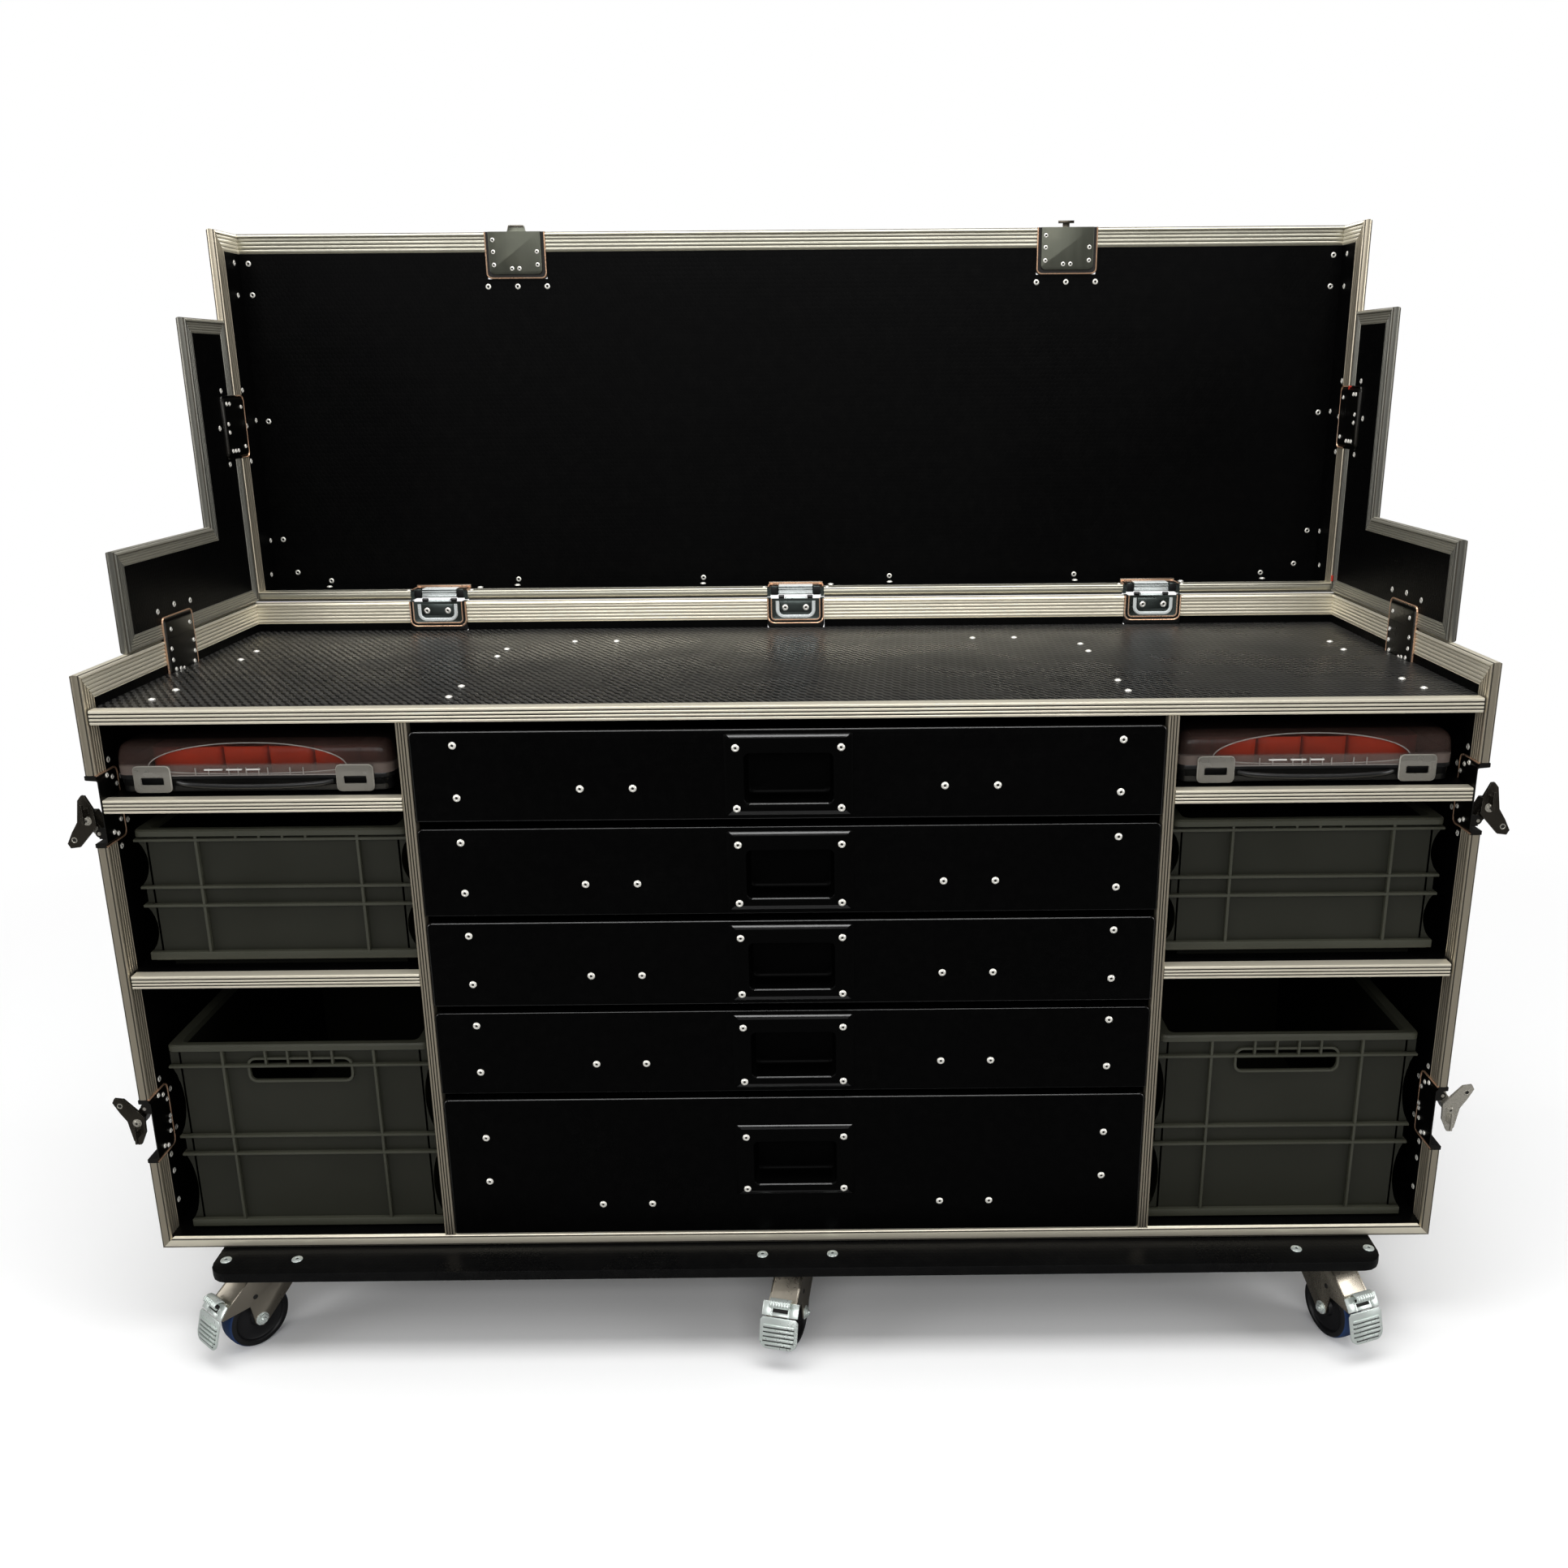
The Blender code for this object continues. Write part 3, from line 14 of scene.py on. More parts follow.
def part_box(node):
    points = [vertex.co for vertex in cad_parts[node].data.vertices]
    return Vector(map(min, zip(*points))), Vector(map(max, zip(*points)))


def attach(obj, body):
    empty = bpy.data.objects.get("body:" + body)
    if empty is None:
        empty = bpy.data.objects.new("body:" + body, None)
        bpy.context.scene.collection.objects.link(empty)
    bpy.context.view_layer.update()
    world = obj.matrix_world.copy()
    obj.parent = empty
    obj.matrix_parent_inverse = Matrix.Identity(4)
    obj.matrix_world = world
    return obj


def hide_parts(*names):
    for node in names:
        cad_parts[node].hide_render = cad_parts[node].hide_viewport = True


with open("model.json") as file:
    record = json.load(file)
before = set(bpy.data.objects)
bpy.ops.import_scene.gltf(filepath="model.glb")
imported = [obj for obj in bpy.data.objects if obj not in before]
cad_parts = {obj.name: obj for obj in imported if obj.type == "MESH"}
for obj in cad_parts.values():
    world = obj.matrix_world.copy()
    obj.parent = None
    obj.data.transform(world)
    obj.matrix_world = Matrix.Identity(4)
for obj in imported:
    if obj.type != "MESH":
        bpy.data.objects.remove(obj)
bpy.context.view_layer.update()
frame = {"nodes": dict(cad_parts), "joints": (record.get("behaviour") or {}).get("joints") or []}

SIDES = {"left": -1, "right": 1}
RIGHT, BACK, UP, FRONT, DOWN = (1, 0, 0), (0, 1, 0), (0, 0, 1), (0, -1, 0), (0, 0, -1)
LOW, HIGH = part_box("base_frame")
ORIGIN = Vector((0.0, LOW.y, LOW.z))


def cabinet_box(node):
    """A CAD node's lowest and highest corners in the cabinet's frame."""
    low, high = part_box(node)
    return low - ORIGIN, high - ORIGIN


def tenths(*rows):
    """Rows of lengths given in tenths of a millimetre, in metres."""
    return [tuple(length / 10000 for length in row) for row in rows]


def mm(*rows):
    """Rows of lengths given in millimetres, in metres."""
    return [tuple(length / 1000 for length in row) for row in rows]


# The sizes that the CAD nodes don't give directly
LEG = 0.002                 # wall of the aluminium profile
WALL = 0.015                # board with both legs of its profile
NOSE_WIDTH = 0.0165
BASE_NOSE = 0.02
NOSE_DEPTH = 0.006
PROFILE_LEG = 0.034
RIM_LEG = 0.0392
WING_LEG = 0.0245
ANGLE = 0.03
DISH = 0.108
DISH_PROUD = 0.004
LATCH_DISH_DEPTH = 0.062
KEEPER_DISH_DEPTH = 0.035
TOP_LATCH_DEPTH = 0.079
HINGE_WIDTH = 0.104
HINGE_DROP = 0.058
HINGE_SHORT = 0.0114        # how far the hinge dish runs on below its pressed rim
HINGE_LID_REACH = 0.04
HINGE_X = 0.655
HINGE_XS = (-HINGE_X, 0.0, HINGE_X)
KNUCKLE_RADIUS = 0.0035
UPPER_LATCH_Z = 0.6685
LOWER_LATCH_Z = 0.1539
TOP_LATCH_X = 0.493
WING_LATCH_Z = 1.234
RIM_LATCH_Y = 0.318
PIN_END = 0.019
PIN_INSET = 0.003
EAR = 0.0025
EAR_START = 0.0085
EAR_HALF = 0.009
LATCH_BODY = 0.024
TRIM_LEG = 0.0021
TRIM_DEPTH = 0.018
DIVIDER_X = 0.5454
DIVIDER_BOARD = 0.012

HALF_WIDTH = HIGH.x
HEIGHT = HIGH.z - ORIGIN.z
GAP = 0.0003
DEPTH = cabinet_box("rear_board")[1].y + LEG
INSIDE = HALF_WIDTH - WALL
LID_FRONT = DEPTH + GAP
LID_BACK = cabinet_box("lid_frame")[1].y
LID_BOTTOM = HEIGHT + 2 * GAP
LID_TOP = cabinet_box("lid_shell")[1].z + NOSE_DEPTH + GAP
WORKTOP_TOP = cabinet_box("worktop")[1].z + TRIM_LEG
WORKTOP_UNDER = cabinet_box("worktop")[0].z
WING_LOW, WING_HIGH = cabinet_box("wing_frame_left")
WING_STEP_Z = 1.0747
WING_HIGH_FRONT = 0.489


# ---------------------------------------------------------------- materials

class Finish:
    """A procedural material, with short calls for the nodes it is made of."""

    def __init__(self, name, colour, roughness, metallic=0.0, specular=0.5):
        self.made = bpy.data.materials.new(name)
        self.made.use_nodes = True
        self.nodes = self.made.node_tree.nodes
        self.links = self.made.node_tree.links
        self.shader = self.nodes["Principled BSDF"]
        for socket, value in (("Base Color", (*colour, 1.0)), ("Roughness", roughness),
                              ("Metallic", metallic), ("Specular IOR Level", specular)):
            self.shader.inputs[socket].default_value = value
        self.made.diffuse_color = (*colour, 1.0)
        self.place = self.nodes.new("ShaderNodeTexCoord").outputs
        self.height = None

    def node(self, kind, inputs, **settings):
        """A new node's outputs; its inputs, by name or number, take values or other sockets."""
        made = self.nodes.new("ShaderNode" + kind)
        for name, value in settings.items():
            setattr(made, name, value)
        for key, value in inputs.items():
            if isinstance(value, bpy.types.NodeSocket):
                self.links.new(value, made.inputs[key])
            else:
                made.inputs[key].default_value = value
        return made.outputs

    def math(self, operation, *values):
        return self.node("Math", dict(enumerate(values)), operation=operation)[0]

    def plus(self, first, second):
        return self.math("ADD", first, second)

    def times(self, first, second):
        return self.math("MULTIPLY", first, second)

    def split(self, source):
        """The three parts of the object's coordinates or of its normal."""
        return self.node("SeparateXYZ", {0: self.place[source]})

    def noise(self, scale, detail=3.0, stretch=(1, 1, 1), rough=0.5):
        spot = self.node("Mapping", {"Vector": self.place["Object"], "Scale": stretch})[0]
        return self.node("TexNoise", {"Vector": spot, "Scale": scale, "Detail": detail,
                                      "Roughness": rough})["Fac"]

    def spread(self, source, low, high, from_low=0.3, from_high=0.7):
        """A value moved from one range to another, held inside it."""
        return self.node("MapRange", {"Value": source, "From Min": from_low, "From Max": from_high,
                                      "To Min": low, "To Max": high})["Result"]

    def mix(self, factor, *colours):
        """Two colours mixed; each is a colour or a socket."""
        first, second = ((*colour, 1.0) if isinstance(colour, tuple) else colour for colour in colours)
        return self.node("Mix", {0: factor, 6: first, 7: second}, data_type="RGBA")[2]

    def paint(self, socket):
        self.links.new(socket, self.shader.inputs["Base Color"])

    def shine(self, socket):
        self.links.new(socket, self.shader.inputs["Roughness"])

    def bump(self, socket, distance, strength=1.0):
        """Adds a height in metres on top of the ones before."""
        inputs = {"Distance": distance, "Strength": strength, "Height": socket}
        if self.height is not None:
            inputs["Normal"] = self.height
        self.height = self.node("Bump", inputs)["Normal"]
        self.links.new(self.height, self.shader.inputs["Normal"])

    def flat_pair(self):
        """The two coordinates in the plane of the face: yz, xz or xy, by where it points."""
        x, y, z = self.split("Object")
        way = self.split("Normal")
        pair = []
        for part, other in ((way[0], x), (way[2], z)):
            turned = self.math("GREATER_THAN", self.math("ABSOLUTE", part), 0.6)
            straight = self.math("SUBTRACT", 1.0, turned)
            pair.append(self.plus(self.times(turned, y), self.times(straight, other)))
        return pair

    def hexagons(self, pitch):
        """A lattice of hexagons as the sum of three waves: 1 in the middles, below 0 between."""
        first, second = self.flat_pair()
        turn = 2 * math.pi / (pitch * 0.866)
        waves = None
        for angle in (90, 210, 330):
            across = self.times(first, turn * math.cos(math.radians(angle)))
            up = self.times(second, turn * math.sin(math.radians(angle)))
            wave = self.math("COSINE", self.plus(across, up))
            waves = wave if waves is None else self.plus(waves, wave)
        return waves


def board_finish(name, base=0.0012, rough=0.46, specular=0.045):
    """Birch board faced with black phenolic film, pressed with fine hexagons."""
    made = Finish(name, (base, base, base * 1.05), rough, specular=specular)
    lines = made.spread(made.hexagons(0.0088), 0.0, 1.0, -1.4, -0.4)
    blotches = made.noise(3.5, 5.0)
    dust = made.noise(55.0, 4.0, rough=0.7)
    made.paint(made.mix(made.spread(dust, 0.0, 1.0, 0.45, 0.8), (base, base, base * 1.04),
                        (base * 1.9, base * 1.85, base * 1.8)))
    made.shine(made.plus(made.spread(blotches, rough - 0.07, rough + 0.08), made.times(lines, -0.05)))
    made.bump(lines, 0.00016, 0.5)
    made.bump(made.noise(900.0, 2.0), 0.00006, 0.4)
    return made.made


def mesh_board_finish():
    """The worktop's anti-slip face: slanting rows of small sunk dots in glossy black film."""
    made = Finish("worktop_film", (0.006, 0.006, 0.006), 0.36, specular=0.3)
    first, second = made.flat_pair()
    turn = 2 * math.pi
    pitch, slant, row_pitch = 0.0124, 0.622, 0.018
    across = made.times(first, turn / pitch)
    leaning = made.math("SINE", made.plus(across, made.times(second, turn * slant / pitch)))
    rows = made.math("SINE", made.times(second, turn / row_pitch))
    lattice = made.plus(made.times(leaning, 0.64), made.times(rows, 0.36))
    ridges = made.spread(lattice, 0.0, 1.0, -0.5, 0.08)
    wear = made.noise(5.0, 5.0)
    # The ridge tops are painted lighter, in uneven patches, as a painted highlight, and the sunk dots between
    # them are painted near-black as painted shade.
    ridge_patches = made.noise(28.0, 4.0, rough=0.7)
    ridge_highlight = made.mix(made.spread(ridge_patches, 0.0, 1.0, 0.35, 0.75), (0.027, 0.0265, 0.025), (0.05, 0.049, 0.046))
    made.paint(made.mix(ridges, (0.0004, 0.0004, 0.0004), ridge_highlight))
    made.shine(made.plus(made.spread(wear, 0.3, 0.46), made.times(ridges, -0.1)))
    made.bump(ridges, 0.0009, 0.9)
    made.bump(made.noise(700.0, 2.0), 0.00005, 0.4)
    return made.made


def metal(name, colour, rough, streak=(1, 1, 1), change=0.1, tint=None, fine=260.0, metallic=1.0):
    """Bare metal: drawn or rolled streaks, smudges and fine scratches."""
    made = Finish(name, colour, rough, metallic=metallic)
    smudge = made.noise(7.0, 5.0)
    streaks = made.noise(fine, 2.0, stretch=streak)
    scratches = made.noise(fine * 3.1, 2.0, stretch=streak)
    dark = tuple(c * (1 - 2 * change) for c in colour)
    toned = made.mix(made.spread(smudge, 0.0, 1.0, 0.35, 0.7), dark, colour)
    if tint is not None:
        toned = made.mix(made.spread(made.noise(16.0, 3.0), 0.0, 0.6, 0.5, 0.75), toned, tint)
    made.paint(made.mix(made.spread(scratches, 0.0, 0.14, 0.45, 0.8), toned, dark))
    made.shine(made.plus(made.spread(streaks, rough - 0.02, rough + 0.03), made.spread(smudge, 0.05, -0.04)))
    made.bump(streaks, 0.000006, 0.2)
    return made.made


def plastic(name, colour, rough, grain=700.0, specular=0.4, change=0.15):
    """Moulded plastic with a fine spark-eroded grain and a little handling wear."""
    made = Finish(name, colour, rough, specular=specular)
    patches = made.noise(7.0, 4.0)
    scuffs = made.noise(60.0, 4.0, stretch=(1, 1, 6), rough=0.7)
    pale = tuple(c * (1 + 2 * change) + 0.002 for c in colour)
    dark = tuple(c * (1 - change) for c in colour)
    toned = made.mix(made.spread(patches, 0.0, 1.0), dark, colour)
    made.paint(made.mix(made.spread(scuffs, 0.0, 1.0, 0.62, 0.85), toned, pale))
    made.shine(made.spread(patches, rough - 0.06, rough + 0.07))
    made.bump(made.noise(grain, 2.0), 0.00012, 0.5)
    return made.made


def clear_plastic(name, colour, rough, alpha, specular=0.5):
    """Clear moulded plastic, a little hazy, thin enough to see through without bending the view."""
    made = Finish(name, colour, rough, specular=specular)
    made.shine(made.spread(made.noise(30.0, 4.0), rough - 0.04, rough + 0.08))
    shade = tuple(c * 0.86 for c in colour)
    made.paint(made.mix(made.spread(made.noise(11.0, 3.0), 0.0, 1.0), colour, shade))
    cloud = made.spread(made.noise(17.0, 3.0), alpha - 0.04, alpha + 0.05)
    made.links.new(cloud, made.shader.inputs["Alpha"])
    made.bump(made.noise(24.0, 3.0), 0.0004, 0.15)
    return made.made


BLACK_BOARD = board_finish("black_board_film")
BLACK_FRONT = board_finish("drawer_front_film", 0.0008, 0.36, 0.05)
CASTOR_BOARD = board_finish("castor_board_film", 0.0022, 0.34, 0.14)
WORKTOP_FILM = mesh_board_finish()
ALONG_X, ALONG_Y, ALONG_Z = (0.004, 1, 1), (1, 0.004, 1), (1, 1, 0.004)
# The profiles are all one aluminium, drawn as lit and shaded copies. The olive tone is brightened as painted
# light. The darker copies on the upright profiles, on the lid's and wings' profiles along x, and on the wings
# are painted shade.
LIT_OLIVE = (0.88, 0.82, 0.665)
ALUMINIUM_X = metal("aluminium_along_x", LIT_OLIVE, 0.33, ALONG_X, 0.05, metallic=0.6)
ALUMINIUM_Y = metal("aluminium_along_y", LIT_OLIVE, 0.38, ALONG_Y, 0.05, metallic=0.62)
ALUMINIUM_SHADED_Z = metal("aluminium_shaded_along_z", (0.64, 0.57, 0.44), 0.33, ALONG_Z, 0.05, metallic=0.9)
ALUMINIUM_SHADED_X = metal("aluminium_shaded_x", (0.5, 0.48, 0.395), 0.33, ALONG_X, 0.05, metallic=0.85)
# Near-black aluminium for the faces down in the profiles' grooves: painted shade.
GROOVE_SHADE = metal("aluminium_groove_painted_shade", (0.1, 0.09, 0.072), 0.45, metallic=0.8)
WING_SHADED_Y = metal("aluminium_wing_shaded_y", (0.46, 0.44, 0.365), 0.38, ALONG_Y, 0.05, metallic=0.7)
WING_SHADED_Z = metal("aluminium_wing_shaded_z", (0.24, 0.235, 0.205), 0.36, ALONG_Z, 0.05, metallic=0.9)
EDGE_METALS = [ALUMINIUM_X, ALUMINIUM_Y, ALUMINIUM_SHADED_Z, GROOVE_SHADE]
WING_METALS = [ALUMINIUM_SHADED_X, WING_SHADED_Y, WING_SHADED_Z, GROOVE_SHADE]
LID_METALS = [ALUMINIUM_SHADED_X, ALUMINIUM_Y, ALUMINIUM_SHADED_Z, GROOVE_SHADE]
ZINC = metal("zinc_plate", (0.72, 0.78, 0.745), 0.3, change=0.04, tint=(0.66, 0.75, 0.7), metallic=0.62)
FORK_STEEL = metal("fork_yellow_zinc", (0.62, 0.56, 0.46), 0.3, tint=(0.5, 0.43, 0.34))
DISH_STEEL = metal("dish_steel", (0.06, 0.058, 0.054), 0.3, tint=(0.09, 0.08, 0.065))
PAN_STEEL = metal("hinge_pan_steel", (0.125, 0.15, 0.142), 0.28, tint=(0.11, 0.13, 0.125))
TOP_STEEL = metal("top_dish_steel", (0.15, 0.156, 0.124), 0.32, (1, 1, 0.05), 0.12,
                         tint=(0.2, 0.2, 0.155), fine=120.0, metallic=0.9)
COPPER_EDGE = metal("bare_copper_edge", (0.9, 0.56, 0.36), 0.28, tint=(0.9, 0.7, 0.54), metallic=0.7)
BAR_STEEL = metal("hinge_bar_steel", (0.88, 0.93, 0.92), 0.24, change=0.04, metallic=0.25)
LATCH_STEEL = metal("latch_nickel", (0.5, 0.475, 0.41), 0.26, change=0.14, metallic=0.6)
# Near-black on the latches' flat faces: painted shade and dark reflection on nickel.
LATCH_SHADE = metal("latch_painted_shade", (0.085, 0.075, 0.06), 0.24, change=0.2, metallic=0.9)
RIVET_STEEL = metal("rivet_steel", (0.92, 0.9, 0.83), 0.28, change=0.04, metallic=0.45)
# Near-black painted into the hollows of rivets, bolt sockets and latch eyes, the pedal's creases and window,
# and the top dishes' inner step as painted shade; the fork pins are drawn in it too.
HOLLOW_SHADE = plastic("hollow_painted_shade", (0.01, 0.009, 0.008), 0.6)
RIVET_METALS = [RIVET_STEEL, HOLLOW_SHADE]
BLACK_STEEL = plastic("black_powder_coat", (0.0008, 0.0008, 0.0008), 0.32, 1100.0, 0.06)
BLACK_GLOSS = plastic("black_polished_edge", (0.004, 0.004, 0.004), 0.17, 1100.0, 1.0)
POCKET_BLACK = plastic("pull_pocket_black", (0.0005, 0.0005, 0.0005), 0.42, 1100.0, 0.05)
CRATE_PLASTIC = plastic("crate_grey_plastic", (0.0175, 0.018, 0.012), 0.44, 500.0, 0.26)
# A lighter copy of the crate plastic for ribs, rim and bars: a painted highlight on their edges.
CRATE_RIB_HIGHLIGHT = plastic("crate_rib_painted_highlight", (0.044, 0.045, 0.032), 0.38, 500.0, 0.34)
# A darker copy of the crate plastic for the crates' inner faces: painted shade.
CRATE_INSIDE_SHADE = plastic("crate_inside_painted_shade", (0.005, 0.0052, 0.0036), 0.52, 500.0, 0.1)
# Black moulded plastic for the trays and the lid's end plugs; on the hinge pans the same black is painted
# shade.
TRAY_PLASTIC_AND_PAN_SHADE = plastic("tray_black_plastic_and_pan_shade", (0.006, 0.006, 0.0062), 0.3, 700.0, 0.5)
ORANGE_PLASTIC = plastic("orange_insets", (0.56, 0.036, 0.005), 0.46, specular=0.1)
RED_PLASTIC = plastic("red_plastic", (0.6, 0.04, 0.02), 0.42)
RUBBER_BLUE = plastic("wheel_blue_rubber", (0.006, 0.03, 0.11), 0.48, 300.0)
HUB_BLACK = plastic("wheel_black_hub", (0.006, 0.006, 0.007), 0.44, 500.0)
CLASP_CLEAR = clear_plastic("clasp_clear_plastic", (0.2, 0.19, 0.165), 0.3, 0.62)
# A paler copy of the clasp plastic for its edges: a painted highlight.
CLASP_EDGE_HIGHLIGHT = clear_plastic("clasp_edge_painted_highlight", (0.52, 0.5, 0.45), 0.24, 0.86)
# Pale clear plastic for the raised line round the oval, the ribbed strip and the lid's lower edge: a painted
# highlight on clear ridges.
STRIP_CLEAR_HIGHLIGHT = clear_plastic("strip_clear_painted_highlight", (0.4, 0.36, 0.33), 0.16, 0.55, 0.8)
# Near-white plastic for the bars that stand for the shine on the lid's front: painted highlights.
STRIP_SHINE_HIGHLIGHT = clear_plastic("strip_shine_painted_highlight", (0.8, 0.77, 0.74), 0.16, 0.88, 0.8)


# ---------------------------------------------------------------- mesh building

class Shape:
    """Points and faces gathered for one piece, with a finish number on each face."""

    def __init__(self):
        self.points = []
        self.faces = []
        self.finishes = []

    def add(self, points, faces, finish=0, place=None):
        start = len(self.points)
        for point in points:
            self.points.append(place @ Vector(point) if place is not None else Vector(point))
        for index, face in enumerate(faces):
            self.faces.append([start + corner for corner in face])
            self.finishes.append(finish[index] if isinstance(finish, list) else finish)

    def join(self, other, place=None, shift=0):
        self.add(other.points, other.faces, [finish + shift for finish in other.finishes], place)

    def block(self, low, high, width=0.0, finish=0, place=None, segments=2):
        """Joins a cuboid with its edges rounded by a width."""
        made = cuboid(low, high, finish)
        self.join(made.bevelled(width, segments) if width else made, place)

    def bit(self, origin, low, high, width=0, finish=0, place=None, segments=2):
        """Joins a small block; its corners, from an origin, and width are in tenths of a millimetre."""
        low, high = ([start + reach for start, reach in zip(origin, corner)] for corner in tenths(low, high))
        self.block(low, high, width / 10000, finish, place, segments)

    def pair(self, low, high, width=0.0):
        """Joins a block given on the right and its mirror image on the left, the left one first."""
        for side in SIDES.values():
            near, far = beside(side, low[0], high[0])
            self.block((near, *low[1:]), (far, *high[1:]), width)

    def mesh(self):
        """A bmesh of these points, faces and finishes."""
        bm = bmesh.new()
        corners = [bm.verts.new(point) for point in self.points]
        for face, finish in zip(self.faces, self.finishes):
            bm.faces.new([corners[corner] for corner in face]).material_index = finish
        return bm

    def bevelled(self, width, segments=2, angle=30):
        """A copy with its sharper edges rounded."""
        return bevel_mesh(self.mesh(), width, segments, angle)


def bevel_mesh(bm, width, segments=2, angle=30):
    """Rounds a mesh's sharper edges and gives it back as a Shape."""
    bmesh.ops.remove_doubles(bm, verts=bm.verts, dist=0.000005)
    bmesh.ops.recalc_face_normals(bm, faces=bm.faces)
    bmesh.ops.dissolve_limit(bm, angle_limit=0.002, verts=bm.verts, edges=bm.edges, delimit={"MATERIAL"})
    sharp = [edge for edge in bm.edges
             if len(edge.link_faces) == 2 and edge.calc_face_angle(0.0) > math.radians(angle)]
    bmesh.ops.bevel(bm, geom=sharp, offset=width, offset_type="OFFSET", segments=segments, profile=0.5,
                    affect="EDGES", clamp_overlap=True)
    made = Shape()
    bm.verts.index_update()
    made.points = [corner.co.copy() for corner in bm.verts]
    for face in bm.faces:
        made.faces.append([corner.index for corner in face.verts])
        made.finishes.append(face.material_index)
    bm.free()
    return made


def piece(name, shape, finishes, body, replaces=None, smooth=35, origin=ORIGIN):
    """A finished piece of the scene from a Shape in the cabinet's frame."""
    bm = shape.mesh()
    bmesh.ops.recalc_face_normals(bm, faces=bm.faces)
    mesh = bpy.data.meshes.new(name)
    bm.to_mesh(mesh)
    bm.free()
    for finish in finishes:
        mesh.materials.append(finish)
    mesh.shade_smooth()
    mesh.set_sharp_from_angle(angle=math.radians(smooth))
    made = bpy.data.objects.new(name, mesh)
    made.matrix_world = Matrix.Translation(origin)
    bpy.context.scene.collection.objects.link(made)
    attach(made, body)
    if replaces:
        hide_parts(replaces)


def copied(node, width, segments=2, angle=30):
    """A CAD node's shape in the cabinet's frame, with its edges rounded."""
    bm = bmesh.new()
    bm.from_mesh(frame["nodes"][node].data)
    for corner in bm.verts:
        corner.co -= ORIGIN
    for face in bm.faces:
        face.material_index = 0
    return bevel_mesh(bm, width, segments, angle)


def loft(loops, finish=0, closed=False, caps_first=False):
    """A solid skinned over loops of points, closed on itself or capped at both ends."""
    count, rows = len(loops[0]), len(loops)
    sides = []
    for index in range(rows if closed else rows - 1):
        here, there = index * count, (index + 1) % rows * count
        for step in range(count):
            after = (step + 1) % count
            sides.append([here + step, here + after, there + after, there + step])
    caps = [] if closed else [list(range(count)), list(range((rows - 1) * count, rows * count))]
    faces = caps + sides if caps_first else sides + caps
    made = Shape()
    made.add([point for loop in loops for point in loop], faces, finish)
    return made


def extrude(outline, axis, low, high, finish=0):
    """A closed solid from an outline in the plane across an axis."""
    loops = []
    for level in (low, high):
        loops.append([list(point) for point in outline])
        for point in loops[-1]:
            point.insert("xyz".index(axis), level)
    return loft(loops, finish, caps_first=True)


def cuboid(low, high, finish=0):
    outline = [(low[0], low[1]), (high[0], low[1]), (high[0], high[1]), (low[0], high[1])]
    return extrude(outline, "z", low[2], high[2], finish)


def revolved(profile, sides, finishes=0):
    """A solid turned about +Z from (radius, height) pairs that start and end on the axis, or close up."""
    points = []
    rings = []
    for radius, height in profile:
        if radius < 1e-7:
            rings.append([len(points)] * sides)
            points.append((0.0, 0.0, height))
            continue
        rings.append([len(points) + step for step in range(sides)])
        for step in range(sides):
            angle = 2 * math.pi * step / sides
            points.append((radius * math.cos(angle), radius * math.sin(angle), height))
    made = Shape()
    faces = []
    marks = []
    for index, (below, above) in enumerate(zip(rings, rings[1:])):
        for step in range(sides):
            after = (step + 1) % sides
            face = list(dict.fromkeys((below[step], below[after], above[after], above[step])))
            if len(face) > 2:
                faces.append(face)
                marks.append(finishes[index] if isinstance(finishes, list) else finishes)
    made.add(points, faces, marks)
    return made


def facing(point, way, turn=0.0):
    """A placement whose +Z points a given way."""
    rotation = Vector(UP).rotation_difference(Vector(way)).to_matrix().to_4x4()
    return Matrix.Translation(point) @ rotation @ Matrix.Rotation(turn, 4, "Z")


def oriented(corner, u, v, d):
    """The placement that takes (u, v, d) to the cabinet's frame."""
    return Matrix([(*row, 0.0) for row in (u, v, d)] + [(*corner, 1.0)]).transposed()


def arc(centre, radius, start, end, steps):
    """Points on a circle between two angles in degrees."""
    made = []
    for step in range(steps + 1):
        angle = math.radians(start + (end - start) * step / steps)
        made.append((centre[0] + radius * math.cos(angle), centre[1] + radius * math.sin(angle)))
    return made


def rounded_outline(low, high, radius, steps=5):
    """A rectangle with rounded corners, from its lower right round to its lower left."""
    (x0, y0), (x1, y1) = low, high
    centres = [(x1 - radius, y0 + radius), (x1 - radius, y1 - radius),
               (x0 + radius, y1 - radius), (x0 + radius, y0 + radius)]
    return [point for turn, centre in enumerate(centres)
            for point in arc(centre, radius, 90 * turn - 90, 90 * turn, steps)]


def beside(side, near, far, middle=0.0):
    """Two places out from a middle towards one side, the lower one first."""
    return sorted((middle + side * near, middle + side * far))


# ---------------------------------------------------------------- sections of the profiles

FLUTE_DEPTH = 0.0011
FLUTE = ((0.0, 1.0), (0.1, 0.62), (0.2, 0.22), (0.35, 0.04), (0.5, 0.0), (0.65, 0.04), (0.8, 0.22),
         (0.9, 0.62))
CROWN = tenths((3, 42), (11, 26), (25, 14), (45, 6), (72, 1), (100, 0), (128, 2), (154, 8), (174, 17),
               (188, 28), (197, 42))
# The finish number for faces down in grooves: the darker aluminium that paints shade there
GROOVE = 3
TRIM_GROOVE = 0.0018


def flutes(face, way, start, end, count):
    """Points of rounded flutes side by side on a face at a = face, cut towards way."""
    width = (end - start) / count
    points = [(face + way * FLUTE_DEPTH * cut, start + (number + part) * width)
              for number in range(count) for part, cut in FLUTE]
    return points + [(face + way * FLUTE_DEPTH, end)]


